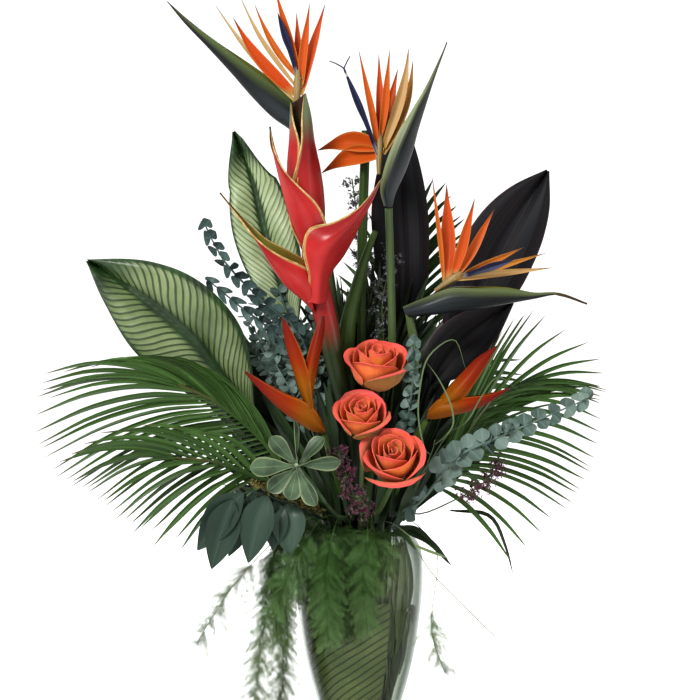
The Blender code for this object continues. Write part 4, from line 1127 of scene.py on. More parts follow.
# Painted reflection: the wide paler blue-grey streaks are a painted sheen. The red streaks below are the
# leaf's own colour.
skin = ti.mix(wide_band.between(0.5, 0.75) * 0.6, skin, "2c363c")
skin = ti.mix(wide_band.between(0.45, 0.25) * 0.5, skin, "2c1a1e")
skin = ti.mix(aside.between(0.93, 1.0) * 0.6, skin, "5b3038")
skin = ti.mix(aside.between(0.05, 0.0) * 0.5, skin, "322c34")
finishes["ti_leaf"] = ti.coat(skin, fine * 0.25 + 0.4, fine + aside.between(0.06, 0.0), 0.35)

# %% Broad leaf blades
GULL = [(-0.5, 0.05), (-0.36, 0.10), (-0.15, 0.06), (0, -0.03), (0.15, 0.06), (0.36, 0.10), (0.5, 0.05)]
broad = grid("broad_leaf", [(0, 1), (1, 1)], GULL, columns=16, rows=44)
BLADE_FROM = 12 * MM
WAVES = 2.5
WAVE_DEPTH = 2.0 * MM
TEAR = (0.735, 0.95)


def moved(obj, limb, directions, reach):
    """Move each vertex of a laid leaf by its own reach along the limb's directions."""
    along = places_of(broad.data)[:, 1]
    places = places_of(obj.data) + limb.at(along, directions) * reach[:, None]
    obj.data.vertices.foreach_set("co", places.ravel())


def ruffled(obj, limb):
    """Wave the two margins of a laid leaf, each in its own time."""
    x, along = places_of(broad.data)[:, :2].T
    swing = np.sin(along * math.tau * WAVES + np.sign(x) * 1.1) * (2 * abs(x)) ** 2
    moved(obj, limb, limb.normal, swing * np.sin(along * math.pi) * WAVE_DEPTH)


def notched(obj, limb):
    """The upper leaf is torn: near its tip one margin steps in and the other stands a little further out."""
    x, along = places_of(broad.data)[:, :2].T
    bulge = np.sin(np.clip((along - TEAR[0]) / (TEAR[1] - TEAR[0]), 0, 1) * math.pi) ** 0.5
    torn = (limb.across @ np.array((1, 0, 0))).mean() * x > 0
    change = np.where(torn, -0.26, 0.14) * bulge * x * np.interp(along, limb.t, limb.wide)
    moved(obj, limb, limb.across, change)


def broad_leaf(node, tone):
    """The solid's stalk up to where it grows wide, and from there on its blade."""
    whole, _ = limbs(node)
    first = int(np.argmax(whole.rings[1] > BLADE_FROM)) - 1
    blade, stalk = whole.part(first), whole.part(0, first + 1)
    leaf = lay(broad, blade, depth=blade.wide.max() * 0.9, tone=tone)
    ruffled(leaf, blade)
    if node == "variegated_leaf_upper":
        notched(leaf, blade)
    modified(leaf, "SOLIDIFY", thickness=0.5 * MM, offset=0)
    finished(node + "_blade", [leaf, lay(round_stem, stalk, 5 * MM)], finishes[SLOT_OF[node]], node)


for node, tone in (("variegated_leaf_left", 0.0), ("variegated_leaf_upper", 0.8), ("ti_leaf_centre", 0.5),
                   ("ti_leaf_right", 0.5), ("ti_leaf_low", 0.5)):
    broad_leaf(node, tone)

# %% [markdown]
# ## Roses
# A rose is a bud wrapped in petals, each opening further than the last, with its lip rolled outward. One
# petal is modelled, and it is wrapped round the bloom's axis again and again, a golden angle further each
# time. Inner petals stand up and curl in; outer ones lie back.

# %% Rose petals
ROUND = [(0, 0.30), (0.25, 0.72), (0.55, 1.0), (0.8, 0.92), (0.93, 0.68), (1, 0.40)]
rose_petal = grid("rose_petal", ROUND, columns=12, rows=12)
GOLDEN = 2.39996
ROSE_HEIGHT = 40 * MM
ROSE_RADIUS = 33.5 * MM

rose = Finish("rose_skin", 0.6, Sheen_Weight=0.05)
u, v = rose.uv()
vein = rose.streaks(22, 2)
PETAL_SHARE = 0.62
amber, apricot, coral, dusky, faded, heart, blush, pale = [linear(code, PETAL_SHARE) for code in (
    "ffb44c", "fa923c", "ea7044", "d4604c", "9a7040", "f8a04c", "dc4a54", "ffb478")]
flesh = rose.ramp(rose.tone(), (0.0, amber), (0.35, apricot), (0.7, coral), (0.93, dusky), (1.0, faded))
flesh = rose.mix(v.between(0.7, 0.0) * 0.7, flesh, heart)
flesh = rose.mix((v + rose.noise(60) * 0.2).between(0.84, 1.08) * 0.8, flesh, blush)
flesh = rose.mix(vein.between(0.5, 0.75) * 0.2, flesh, pale)
rose.coat(flesh, vein * 0.2 + 0.5, vein, 0.25)

# %% [markdown]
# A bloom's solid says where it faces and how big it is. Each petal reaches further out than the last.

# %% Wrap petals round a bloom
BLOOM_SIDES = 14


def axis_of(node):
    """The foot of a bloom, the way that it faces and its size, from the middle of its top and its girth."""
    solid = merged(node)
    top = next(v.co.copy() for v in solid.verts if len(v.link_edges) == BLOOM_SIDES)
    facing = (top - Vector(tube(node.replace("bloom", "stem")).line[-1])).normalized()
    size = max((v.co - top).cross(facing).length for v in solid.verts) / ROSE_RADIUS
    solid.free()
    return top - facing * ROSE_HEIGHT * size, facing, size


def wrapped(foot, facing, size, turn, reach, rise, lip, wrap, tone, roll):
    """A petal round an axis. reach and rise are how far out and how high its lip stands, lip how far the
    lip rolls out, wrap the angle that it covers, and roll how far its corners turn back."""
    obj = bpy.data.objects.new(rose_petal.name, rose_petal.data.copy())
    scene.collection.objects.link(obj)
    places = places_of(obj.data)
    side = facing.orthogonal().normalized()
    other = facing.cross(side)
    x, y = places[:, 0] * 2, places[:, 1]
    angle = turn + x * wrap / 2
    belly = np.interp(y, [0, 0.15, 0.35, 0.6, 0.8, 1], [0.10, 0.55, 0.85, 0.98, 1.0, 0.96])
    corner = abs(x) ** 2.5 * y ** 2
    wave = np.sin(x * 4 + tone * 20) * y ** 4 * 1.2 * MM
    curl = np.clip((y - 0.75) / 0.25, 0, 1) ** 1.7
    out = reach * belly + lip * curl + roll * corner + wave
    up = rise * (y - 0.16 * curl * min(lip / (0.2 * ROSE_RADIUS), 1)) - corner * (0.12 * rise + roll * 0.8)
    made = np.array(foot) + np.outer(up * size, facing)
    made = made + np.outer(out * size * np.cos(angle), side) + np.outer(out * size * np.sin(angle), other)
    obj.data.vertices.foreach_set("co", made.ravel())
    toned(obj, tone)
    return obj


PETALS = 17


def rose_bloom(node, size_by, lean):
    foot, facing, size = axis_of(node)
    facing = (facing + Vector(lean)).normalized()
    parts = []
    for n in range(PETALS):
        f = n / (PETALS - 1)
        reach = (0.06 + 0.74 * f ** 1.1) * ROSE_RADIUS
        rise = (0.98 + 0.10 * math.sin(math.pi * f) - 0.10 * f ** 4 + luck.normal(0, 0.02)) * ROSE_HEIGHT
        lip = (0.01 + 0.22 * f ** 2.5) * ROSE_RADIUS
        wrap = 3.9 - 1.7 * f ** 0.6
        tone = min(0.05 + 0.85 * f + luck.normal(0, 0.07), 0.93) if n < PETALS - 2 else 1.0
        roll = (0.02 + 0.20 * f ** 2) * ROSE_RADIUS
        parts.append(wrapped(foot, facing, size * size_by, n * GOLDEN, reach, rise, lip, wrap, tone, roll))
    finished(node + "_petals", parts, rose, node, thick=0.6 * MM)


for node, size_by, lean in (("rose_1_bloom", 1.22, (0, -0.1, 0.1)), ("rose_2_bloom", 1.08, (0, 0, 0.1)),
                            ("rose_3_bloom", 1.16, (-0.05, 0, 0.42))):
    rose_bloom(node, size_by, lean)

# %% [markdown]
# ## Small-leaved sprigs
# Eucalyptus carries round grey leaves in pairs, pittosporum a whorl of sage leaves with cream margins, and
# seeded eucalyptus both long leaves and clusters of olive seeds. They share one way of dressing: the stalk
# keeps its line, and every short limb takes a cupped leaf.

# %% Sprigs
CUP = [(-0.5, 0.14), (-0.25, 0.03), (0, 0.0), (0.25, 0.03), (0.5, 0.14)]
COIN = [(0, 0.12), (0.18, 0.72), (0.5, 1.0), (0.8, 0.75), (1, 0.06)]
SPOON = [(0, 0.14), (0.2, 0.32), (0.45, 0.74), (0.7, 1.0), (0.9, 0.74), (1, 0.14)]
GUM = [(0, 0.10), (0.15, 0.6), (0.4, 1.0), (0.65, 0.86), (0.88, 0.4), (1, 0.04)]
coin_leaf = grid("coin_leaf", COIN, CUP, columns=6, rows=8)
spoon_leaf = grid("spoon_leaf", SPOON, CUP, columns=8, rows=14)
gum_leaf = grid("gum_leaf", GUM, CUP, columns=8, rows=12)

# %% [markdown]
# Pittosporum leaves have a cream margin. A seed is a small ball, drawn out to a point.

# %% Finishes and seeds of the sprigs
cream_edged = Finish("cream_edged_leaf", 0.45, Coat_Weight=0.1, Coat_Roughness=0.3)
u, v = cream_edged.uv()
aside = abs(u - 0.5) * 2
cloud = cream_edged.noise(50, 4)
sage = cream_edged.mix(cloud.between(0.35, 0.65), "3a4c37", "5f7658")
sage = cream_edged.mix((aside + cloud * 0.35).between(0.94, 1.14) * 0.7, sage, "9ba67e")
sage = cream_edged.mix(aside.between(0.08, 0.0) * 0.5, sage, "8fa27a")
finishes["pittosporum_leaf"] = cream_edged.coat(sage, cloud * 0.3 + 0.3, cloud + aside.between(0.1, 0.0))

seeded = leafy("seeded_green", "22352b", "48604f", "seeded_eucalyptus", veins=20, roughness=0.5, gloss=0.1)
seeds = Finish("seed_skin", 0.5, Coat_Weight=0.1)
olive = seeds.mix(seeds.noise(300, 2).between(0.3, 0.7), "3e3a16", "6e672e")
seeds.coat(olive, seeds.noise(500) * 0.3 + 0.35)
seed = started("seed", bpy.ops.mesh.primitive_ico_sphere_add, (0, 0.5, 0), subdivisions=2, radius=0.5)
bpy.ops.object.mode_set(mode="EDIT")
pick(seed, places_of(seed.data)[:, 1] > 0.9)
bpy.ops.transform.translate(value=(0, 0.2, 0))
bpy.ops.object.mode_set(mode="OBJECT")
seed.data.uv_layers[0].name = "UVMap"
hide(seed)

# %% [markdown]
# A twig springs from any place on a limb, which makes a sparse solid as full as the living plant.

# %% Twigs and sprigs
def twig(limb, around, reach, thick, share=None):
    """A short straight limb that springs from a place on another limb, turned about it by an angle."""
    share = luck.uniform(0.3, 1.0) if share is None else share
    root = limb.at([share], limb.line)[0]
    across, normal, along = [limb.at([share], way)[0] for way in (limb.across, limb.normal, limb.tangent)]
    out = unit(across * math.cos(around) + normal * math.sin(around) + along * 0.5)
    places = [root, root + out * reach * 0.5, root + out * reach]
    return even_limb(places, thick, Vector(np.cross(out, along)))


def sprig(node, leaf, wider=1.1, extra=0, finish=None):
    """Each leaf is wider times as wide as its solid's, and extra more spring from the stalk beside it."""
    stalk, leaves = limbs(node)
    parts = [lay(thin_stem, stalk)]
    for limb in leaves:
        wide = limb.rings[1].max() * wider
        parts.append(lay(leaf, limb, wide * luck.uniform(0.88, 1.1), lean=luck.normal(0, 0.5)))
        for _ in range(extra):
            more = twig(stalk, luck.uniform(0, math.tau), limb.length * luck.uniform(0.6, 0.95), wide)
            parts.append(lay(leaf, more, wide * 0.85, lean=luck.normal(0, 0.6)))
    finished(node + "_leaves", parts, finish or finishes[SLOT_OF[node]], node, thick=LEAF_THICK)


for node in ("eucalyptus_upper_left", "eucalyptus_small"):
    sprig(node, coin_leaf, finish=finishes["eucalyptus_dark"])
sprig("eucalyptus_right", coin_leaf, wider=1.15, extra=1)
sprig("eucalyptus_centre", coin_leaf, extra=1)
sprig("pittosporum", spoon_leaf, wider=1.12)

# %% [markdown]
# On seeded eucalyptus a long limb is a leaf, and a short one a cluster of seeds.

# %% Seeded eucalyptus
LONG_LEAF = 25 * MM
stalk, limbs_here = limbs("seeded_eucalyptus")
parts, big = [painted(lay(thin_stem, stalk), seeded)], 0
for limb in limbs_here:
    if limb.length > LONG_LEAF:
        big += 1
        wide = limb.rings[1].max() * (1.75 if big % 2 else 1.3)
        shift, sag = (3 * MM, 16 * MM) if big % 2 else (-3 * MM, 2 * MM)
        leaf = lay(gum_leaf, limb, wide, lean=luck.normal(0, 0.25), shift=shift, sag=sag)
        parts.append(painted(leaf, seeded))
        continue
    for _ in range(10):
        clump = twig(limb, luck.uniform(0, math.tau), luck.uniform(3, 7) * MM, 3.4 * MM)
        parts.append(painted(lay(seed, clump), seeds))
finished("seeded_eucalyptus_leaves", parts, seeded, "seeded_eucalyptus")

# %% [markdown]
# ## Asparagus fern
# Asparagus fern is a cloud of needles. One needle is modelled, repeated along a thin twig and mirrored.
# From where the solid's first twig springs, several such plumes stand out all round the stalk at every step.

# %% Fern plumes
NEEDLES = 15
plume = started("plume", bpy.ops.mesh.primitive_plane_add, (0.5, 0, 0), size=1)
bpy.ops.object.mode_set(mode="EDIT")
bpy.ops.mesh.select_all(action="SELECT")
bpy.ops.transform.resize(value=(0.5, 0.035, 1), center_override=(0, 0, 0))
bpy.ops.object.mode_set(mode="OBJECT")
flat = places_of(plume.data)
bpy.ops.object.mode_set(mode="EDIT")
pick(plume, flat[:, 0] > 0.4)
bpy.ops.transform.resize(value=(1, 0.25, 1), center_override=(0.5, 0, 0))
bpy.ops.transform.translate(value=(0, 0.09, 0.06))
bpy.ops.object.mode_set(mode="OBJECT")
modified(plume, "ARRAY", count=NEEDLES, use_relative_offset=False, use_constant_offset=True,
         constant_offset_displace=(0, 1 / NEEDLES, 0))
modified(plume, "MIRROR", use_axis=(True, False, False), merge_threshold=0.0001)
only(plume)
flat = places_of(plume.data)
bpy.ops.object.mode_set(mode="EDIT")
for row in range(NEEDLES):
    foot = row / NEEDLES
    roots = abs(flat[:, 1] - foot) < 0.02
    tips = (abs(flat[:, 0]) > 0.4) & (flat[:, 1] > foot + 0.05) & (flat[:, 1] < foot + 0.13)
    pick(plume, roots | tips)
    bpy.ops.transform.resize(value=(1 - 0.75 * foot ** 1.5,) * 3, center_override=(0, foot, 0))
bpy.ops.object.mode_set(mode="OBJECT")
plume.data.uv_layers[0].name = "UVMap"
hide(plume)

# %% [markdown]
# The plumes crowd together on the stalk and hang a little.

# %% Plumes on a stalk
# Young fern is green and its hanging ends are grey: tone runs along each stalk.
fern_paint = Finish("fern_green", 0.55)
shade = fern_paint.tone() + fern_paint.noise(70, 2) * 0.3 - 0.15
hue = fern_paint.ramp(shade, (0.0, "4a7034"), (0.45, "70905a"), (0.72, "748658"), (1.0, "9ba29a"))
fern_paint.coat(hue, fern_paint.noise(200) * 0.3 + 0.4)
FERN_STEP = 3.5 * MM


def plumes_on(stalk, first, tones, fuller, reach):
    """Plumes all along a stalk, from the share first on. tones are the tone of the first and of the last;
    fuller is how many spring from one place."""
    parts = [lay(thin_stem, stalk, MM, tone=tones[0])]
    for share in np.arange(first, 1.0, FERN_STEP / stalk.length):
        past = (share - first) / (1 - first)
        tone = tones[0] + (tones[1] - tones[0]) * past
        for _ in range(fuller):
            long = reach * luck.uniform(0.6, 1.15) * (1 - 0.4 * past ** 2)
            more = twig(stalk, luck.uniform(0, math.tau), long, MM, share)
            own_tone = tone + luck.normal(0, 0.1)
            parts.append(lay(plume, more, 9 * MM, tone=own_tone, sag=luck.uniform(1, 9) * MM))
    return parts


def bushed(name, parts, *nodes, slot=None):
    """Needles are too thin to need a thickness or a smooth shade."""
    made = dressed(joined(name, parts), fern_paint, *nodes, slot=slot)
    print(name, len(made.data.polygons), "faces")


FERNS = {"asparagus_far_left": ((0.6, 0.95), 4, 27), "asparagus_left": ((0.1, 1.0), 6, 30),
         "asparagus_left_inner": ((0.0, 0.95), 7, 28), "asparagus_front_left": ((0.1, 0.5), 7, 26),
         "asparagus_front": ((0.0, 0.4), 7, 26), "asparagus_front_right": ((0.05, 0.45), 6, 24),
         "asparagus_right": ((0.4, 0.9), 4, 22)}
for node, (tones, fuller, reach) in FERNS.items():
    stalk, twigs = limbs(node)
    first = min(np.linalg.norm(stalk.line - limb.line[0], axis=1).argmin() for limb in twigs) / (FINE - 1)
    bushed(node + "_plumes", plumes_on(stalk, first, tones, fuller, reach * MM), node)

# %% [markdown]
# The fern's own young shoots tumble over the rim in a soft green bush. Their two ends are in mm, across and
# up, and they bulge towards the viewer between them.

# %% Young shoots over the rim
parts = []
for x0, z0, x1, z1 in ((-72, 250, -90, 188), (-66, 254, -85, 138), (-60, 252, -74, 134), (-52, 256, -63, 184),
                       (-46, 254, -53, 182), (-38, 256, -45, 170), (-30, 254, -32, 148), (-22, 254, -20, 138),
                       (-14, 254, -8, 142), (-6, 252, 2, 146), (4, 252, 12, 158), (12, 250, 20, 190),
                       (22, 248, 30, 208)):
    places = [[x0, -44, z0], [(x0 + x1) / 2, -66, z0 - 8], [x1, -68, (z0 + z1) / 2], [x1, -66, z1]]
    parts += plumes_on(even_limb(np.array(places) * MM), 0.05, (0.15, 0.65), 6, 17 * MM)
bushed("fern_shoots", parts, slot="asparagus_fern")

# %% [markdown]
# ## Limonium, waxflower and grass
# Both fillers are sprays of tiny flowers on short twigs, lilac grey on the limonium and wine red on the
# waxflower. A floret is five small petals, and each twig bears them all along its outer part.

# %% Small flowers
floret = started("floret", bpy.ops.mesh.primitive_circle_add, vertices=10, radius=0.5, fill_type="TRIFAN")
bpy.ops.object.mode_set(mode="EDIT")
flat = places_of(floret.data)
far = np.hypot(flat[:, 0], flat[:, 1]) > 0.4
turn = np.round(np.degrees(np.arctan2(flat[:, 1], flat[:, 0])) / 36).astype(int) % 2 == 0
bpy.ops.mesh.select_mode(type="VERT")
pick(floret, far & turn)
bpy.ops.transform.resize(value=(0.45, 0.45, 0.45), center_override=(0, 0, 0))
pick(floret, far & ~turn)
bpy.ops.transform.translate(value=(0, 0, 0.22))
bpy.ops.mesh.select_all(action="SELECT")
bpy.ops.transform.rotate(value=math.pi / 2, orient_axis="X", center_override=(0, 0, 0))
bpy.ops.transform.translate(value=(0, 0.8, 0))
bpy.ops.object.mode_set(mode="OBJECT")
floret.data.uv_layers[0].name = "UVMap"
hide(floret)


for slot, dark, light in (("limonium", "3e4444", "a3a3aa"), ("waxflower", "2c0c1a", "6a2440")):
    paint = Finish(slot + "_petal", 0.5, Sheen_Weight=0.2)
    cloud = paint.noise(220, 2) * 0.6 + paint.tone() * 0.5
    finishes[slot] = paint.coat(paint.mix(cloud.between(0.25, 0.85), dark, light), cloud * 0.3 + 0.3)

# %% [markdown]
# A spray keeps the twigs of its solid. The fuller ones get branchlets beside them.

# %% Sprays
def spray(node, each, size, bushy):
    """each is the number of florets on a twig, and bushy the number of branchlets added to the stalk."""
    stalk, twigs = limbs(node)
    green, petal = finishes["flower_stem"], finishes[SLOT_OF[node]]
    parts = [painted(lay(thin_stem, stalk, 1.6 * MM), green)]
    for limb in twigs:
        parts.append(painted(lay(thin_stem, limb, 0.7 * MM), green))
        for _ in range(each):
            stalklet = twig(limb, luck.uniform(0, math.tau), luck.uniform(3, 9) * MM, 0.5 * MM)
            parts.append(painted(lay(floret, stalklet, size * luck.uniform(0.8, 1.2)), petal))
    for _ in range(bushy):
        around, reach, share = luck.uniform(0, math.tau), luck.uniform(5, 19) * MM, luck.uniform(0.2, 1.0)
        branch = twig(stalk, around, reach, 0.6 * MM, share)
        parts.append(painted(lay(thin_stem, branch, 0.6 * MM), green))
        for n in range(7):
            stalklet = twig(branch, luck.uniform(0, math.tau), luck.uniform(2, 5) * MM, 0.5 * MM)
            bit = lay(floret, stalklet, size * luck.uniform(0.7, 1.2))
            parts.append(painted(bit, green if n % 2 else petal))
    finished(node + "_spray", parts, petal, node)


for node, each, size, bushy in (("limonium_upper", 26, 4.2, 110), ("limonium_centre", 16, 3.4, 30),
                                ("waxflower_centre", 24, 5.6, 34), ("waxflower_right", 18, 4.8, 0)):
    spray(node, each, size * MM, bushy)

# %% [markdown]
# Grass is the simplest: a narrow hollow strip on each limb.

# %% Grass
BLADE = [(0, 0.8), (0.3, 1), (0.8, 0.7), (1, 0.05)]
blade_of_grass = grid("grass", BLADE, [(-0.5, 0.1), (0, -0.1), (0.5, 0.1)], columns=2, rows=28)
for node, wide in (("grass_tuft", 1.6 * MM), ("grass_low", 3.0 * MM)):
    stalk, blades = limbs(node)
    parts = [lay(thin_stem, stalk, 0.9 * MM)]
    parts += [lay(blade_of_grass, limb, wide) for limb in blades]
    finished(node + "_blades", parts, finishes["grass_blade"], node, thick=0.3 * MM)

# %% [markdown]
# ## Vase, water and lining leaf
# The vase is blown glass, so it is turned: the solid's outline is read at one angle, made finer, and spun
# round the axis. The water is turned the same way. A striped leaf lines the glass from inside.

# %% Turned solids
def outline_of(node):
    """The outline of a turned solid at one angle, as (radius, height), from its lowest point on the axis."""
    solid = merged(node)
    ring = {v for v in solid.verts if v.co.x > -1e-6 and abs(v.co.y) < 1e-5}
    path = [min(ring, key=lambda v: (round(v.co.x, 6), v.co.z))]
    while True:
        ahead = [edge.other_vert(path[-1]) for edge in path[-1].link_edges]
        ahead = [v for v in ahead if v in ring and v not in path]
        if not ahead:
            break
        path.append(min(ahead, key=lambda v: v.co.z))
    found = np.array([(v.co.x, v.co.z) for v in path])
    solid.free()
    return found


def eased(points, count):
    """count places on a smooth curve through the points, evenly apart."""
    steps = np.r_[0, np.cumsum(np.linalg.norm(np.diff(points, axis=0), axis=1))]
    return curve_through(points, steps / steps[-1], np.linspace(0, 1, count))


def spun(name, outline, steps=96, angle=math.tau, first=0.0):
    """A surface of revolution: the outline is drawn as a chain of edges and spun round the axis."""
    mesh = bpy.data.meshes.new(name)
    places = [(r * math.cos(first), r * math.sin(first), z) for r, z in outline]
    mesh.from_pydata(places, [(i, i + 1) for i in range(len(places) - 1)], [])
    obj = bpy.data.objects.new(name, mesh)
    scene.collection.objects.link(obj)
    only(obj)
    bpy.ops.object.mode_set(mode="EDIT")
    bpy.ops.mesh.select_all(action="SELECT")
    bpy.ops.mesh.spin(steps=steps, angle=angle, center=(0, 0, 0), axis=(0, 0, -1))
    bpy.ops.mesh.select_all(action="SELECT")
    bpy.ops.mesh.remove_doubles(threshold=0.02 * MM)
    bpy.ops.mesh.select_all(action="SELECT")
    bpy.ops.mesh.normals_make_consistent(inside=False)
    bpy.ops.object.mode_set(mode="OBJECT")
    layer = obj.data.uv_layers.new(name="UVMap")
    tall = max(z for _, z in outline)
    for face in obj.data.polygons:
        corner = [obj.data.vertices[v].co for v in face.vertices]
        turns = [(math.atan2(co.y, co.x) - first) / math.tau % 1 for co in corner]
        for loop, co, turn in zip(face.loop_indices, corner, turns):
            layer.data[loop].uv = (turn + (max(turns) - turn > 0.5), co.z / tall)
    return obj

# %% [markdown]
# The glass is nearly clear. It looks thicker, and so darker, towards its edges.

# %% Glass vase
whole = outline_of("vase")
rim = int(whole[:, 1].argmax())
outside, inside = eased(whole[2:rim + 1], 60), eased(whole[rim + 1:-2], 60)
print("vase outline:", (whole * 1000).round(1).tolist())
vase = spun("vase_glass", np.vstack([whole[:2], outside, inside, whole[-2:]]), steps=128)
glass = Finish("clear_glass", 0.02, Transmission_Weight=1.0, IOR=1.16, Specular_IOR_Level=0.35)
runnels = glass.streaks(22, 1.6, 2)
edge = glass.node("ShaderNodeLayerWeight", inputs={"Blend": 0.4}, output=1)
thick = (edge + runnels * 0.12).between(0.10, 0.60)
glass.coat(glass.mix(thick, (0.92, 0.95, 0.91), (0.16, 0.19, 0.16)),
           glass.noise(70, 4).between(0.4, 0.8) * 0.02 + 0.005, runnels, 0.15, 0.6 * MM)
dressed(smooth_shaded(vase, 40), glass, "vase")

# %% [markdown]
# The water keeps a little clear of the glass, so that the two surfaces never meet.

# %% Water
WATER_GAP = 1.1 * MM
pool = outline_of("vase_water")
pool[:, 0] = np.maximum(pool[:, 0] - WATER_GAP, 0)
print("water outline:", (pool * 1000).round(1).tolist())
axis = [(0, pool[0][1])], [(0, pool[-1][1])]
water = spun("water", np.vstack([axis[0], pool[:1], eased(pool[1:], 40), axis[1]]))
wet = Finish("vase_water", 0.0, Transmission_Weight=1.0, IOR=1.12, Specular_IOR_Level=0.5)
haze = wet.noise(9, 2)
wet.coat(wet.mix(haze.between(0.3, 0.7), (0.72, 0.78, 0.64), (0.84, 0.88, 0.76)),
         haze.between(0.3, 0.8) * 0.04, wet.noise(18, 2), 0.08, 0.5 * MM)
dressed(smooth_shaded(water, 40), wet, "vase_water")

# %% [markdown]
# The lining leaf is one strip of the inside wall: the glass's own outline, a little further in, spun
# through part of a turn. Dark veins cross it at a slant.

# %% Lining leaf
solid = merged("lining_leaf")
turns = [math.atan2(v.co.y, v.co.x) % math.tau for v in solid.verts]
wall = {}
for v in solid.verts:
    level = round(v.co.z, 3)
    wall[level] = max(wall.get(level, 0), math.hypot(v.co.x, v.co.y))
solid.free()
wall = np.array([(radius, level) for level, radius in sorted(wall.items())])
print("lining wall:", (wall * 1000).round(1).tolist())
first, arc = min(turns), max(turns) - min(turns)
lining = spun("lining_strip", eased(wall, 40), steps=60, angle=arc, first=first)
modified(lining, "SOLIDIFY", thickness=0.6 * MM, offset=-1)

striped = Finish("striped_lining", 0.45, Coat_Weight=0.2)
u, v = striped.uv()
wobble = striped.noise(16, 3) - 0.5
slant = v * 176 - u * 220 + wobble * 7
STRIPE_EVERY = 8.5
stripe = (slant * (math.tau / STRIPE_EVERY)).math("SINE").between(0.45, 0.9)
cloud = striped.noise(24, 4).between(0.3, 0.7)
field = striped.mix(cloud, linear("66783c", 0.46), linear("8e9c5c", 0.46))
striped.coat(striped.mix(stripe * 0.85, field, "26341a"), wobble * 0.3 + 0.45, stripe * -1.0)
dressed(smooth_shaded(lining), striped, "lining_leaf")

# %% [markdown]
# ## Dark greenery behind the flowers
# An arranger packs the neck of the vase with leaves, so that no light comes through between the flowers.
# Fans of leaves rise from the neck and from between the flowers: broad ones at the back, narrower ones in
# the middle and short ones before the stalks. Most end inside the outline of the flowers themselves.

# %% Filler leaves
LANCE = [(0, 0.10), (0.15, 0.5), (0.4, 0.95), (0.65, 0.9), (0.88, 0.5), (1, 0.04)]
light_leaf = grid("light_leaf", LANCE, [(-0.5, 0.10), (0, -0.04), (0.5, 0.10)], columns=2, rows=10)
light_coin = grid("light_coin", COIN, CUP, columns=4, rows=6)
BELOW_THE_RIM = 12 * MM
neck = Vector((0, 0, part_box("vase")[1].z - BELOW_THE_RIM))


def fan(count, roots, turns, reaches, widths, masters, back=0.3, middle=neck):
    """Leaves that spread from a middle. roots are the two corners of the patch that they grow from, in mm
    from the middle; turns the lean to either side in radians; reaches and widths are in mm, and back is how
    far the outer ones lean back."""
    low, high = np.array(roots) * MM
    made = []
    for n in range(count):
        turn = luck.uniform(*turns)
        share = (turn - turns[0]) / (turns[1] - turns[0])
        root = np.array(middle) + low + (high - low) * [share, luck.random(), 0]
        way = unit(np.array([math.sin(turn), luck.uniform(-0.1, 0.3) + back * abs(turn), math.cos(turn)]))
        reach = luck.uniform(*reaches) * MM * (1 - 0.25 * abs(turn) - 0.3 * max(abs(turn) - 0.7, 0))
        bend = np.array([math.sin(turn), 0, -0.35]) * reach * 0.2
        limb = even_limb([root, root + way * reach * 0.5 + bend * 0.2, root + way * reach + bend])
        made.append(lay(masters[n % len(masters)], limb, luck.uniform(*widths) * MM, span=(0.12, 1),
                        lean=luck.normal(0, 0.7)))
    return made

# %% [markdown]
# Each fan has its count, the patch that it grows from, its spread, its lengths and its widths.

# %% Six fans and a few blades
narrow, mixed = (palm_leaflet, light_leaf), (light_leaf, palm_leaflet, light_leaf)
parts = fan(90, ((-20, 5, 0), (20, 34, 0)), (-0.72, 0.72), (140, 262), (22, 36), (light_leaf,))
parts += fan(200, ((-24, -12, 0), (24, 20, 0)), (-1.1, 0.78), (80, 225), (10, 18), mixed)
parts += fan(70, ((-16, 0, 0), (22, 24, 0)), (-0.55, 0.5), (70, 175), (8, 15),
             (palm_leaflet, palm_leaflet, light_leaf), 0.1, Vector((14, 26, 372)) * MM)
parts += fan(26, ((-5, 0, 0), (5, 8, 0)), (-0.16, 0.2), (80, 150), (6, 11), narrow, 0.0,
             Vector((-8, 20, 398)) * MM)
parts += fan(34, ((-26, 0, 0), (-10, 26, 0)), (-0.66, -0.30), (240, 300), (18, 30), narrow)
parts += fan(110, ((-34, -38, 8), (40, -18, 8)), (-0.42, 0.42), (70, 180), (8, 15),
             (light_leaf, palm_leaflet))
# Four narrow blades lean over the rim: each is its places in mm as (x, z, y) and its width.
RIM_BLADES = ((((45, 250, -30), (70, 240, -38), (95, 214, -42)), 8),
              (((40, 252, -24), (60, 250, -34), (78, 236, -40)), 7),
              (((95, 268, -10), (137, 262, -16), (153, 230, -18), (161, 200, -18)), 4.5),
              (((30, 246, -40), (44, 248, -52), (58, 232, -58)), 7))
for places, wide in RIM_BLADES:
    spots = [np.array([x, y, z]) * MM for x, z, y in places]
    parts.append(lay(palm_leaflet, even_limb(spots), wide * MM, lean=0.6))
finished("filler_leaves", parts, finishes["filler"], slot="palm_leaf", thick=LEAF_THICK)

# %% [markdown]
# More leaves stand crowded in the water, all round the stems.

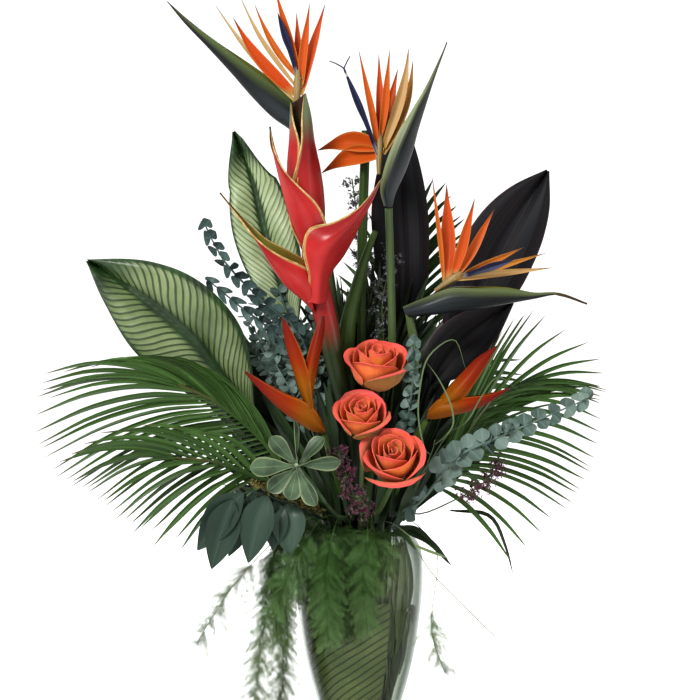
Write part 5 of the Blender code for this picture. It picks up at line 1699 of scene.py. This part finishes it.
# %% Leaves in the water
parts = []
wet_wall = pool[pool[:, 0] > 5 * MM]  # the pool's outline without its middle
wet_wall = wet_wall[np.argsort(wet_wall[:, 1])]
SPREAD_OUT, NEAR_THE_TOP = 300, 220
for n in range(SPREAD_OUT + NEAR_THE_TOP):
    anywhere = n < SPREAD_OUT
    turn, level = luck.uniform(0, math.tau), luck.uniform(15 if anywhere else 110, 165) * MM
    room = min(np.interp([level, level + 80 * MM], wet_wall[:, 1], wet_wall[:, 0])) - 7 * MM
    far = room * math.sqrt(luck.uniform(0 if anywhere else 0.6, 1))
    root = np.array([far * math.cos(turn), far * math.sin(turn), level])
    way = unit(luck.normal(0, 0.04, 3) + [0, 0, 1]) * luck.uniform(60, 85) * MM
    limb = even_limb([root, root + way * 0.5 + luck.normal(0, 2 * MM, 3), root + way])
    parts.append(lay(light_leaf, limb, luck.uniform(4, 13) * MM, lean=luck.normal(0, 0.9)))
sunk = leafy("sunk_leaf", "8e9e72", "ccd6ae", "sunk_leaf")
finished("leaves_in_water", parts, sunk, slot="flower_stem", thick=LEAF_THICK)

# %% [markdown]
# A crowd of silver gum sprigs fills the gap to the left of the heliconia. Their tips are given in mm, and
# each has pairs of round leaves up its last stretch.

# %% Silver sprigs
parts = []
for x, z, y in ((-122, 476, 8), (-112, 498, 14), (-98, 482, 2), (-86, 502, 10), (-76, 478, -6),
                (-100, 450, -4), (-82, 452, -12), (-66, 440, -14), (-62, 470, 4), (-116, 440, 6),
                (-90, 425, -10), (-50, 492, 8)):
    tip = np.array([x, y, z]) * MM
    root = np.array([-18 * MM, 0, neck.z])
    limb = even_limb([root, root + (tip - root) * 0.55 + [6 * MM, 0, 14 * MM], tip], 1.5 * MM)
    parts.append(lay(thin_stem, limb, 1.3 * MM))
    for share in np.linspace(0.60, 0.98, 12):
        for side in (0, math.pi):
            wide = luck.uniform(7, 11) * MM
            leaf = twig(limb, side + luck.normal(0, 0.7), wide * 1.15, MM, share)
            parts.append(lay(light_coin, leaf, wide, lean=luck.normal(0, 0.7)))
finished("silver_sprigs", parts, finishes["eucalyptus_leaf"], slot=SLOT_OF["eucalyptus_centre"],
         thick=LEAF_THICK)

# %% [markdown]
# The last cell prints how far each corner of the finished model's box, from its low corner to its high
# one, lies past the same corner of the solids' box.

# %% Finish
BOX_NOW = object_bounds()
grown = [(new - old) * 1000 for box in zip(CAD_BOX, BOX_NOW) for old, new in zip(*box)]
print("grew by mm:", [round(by, 1) for by in grown])
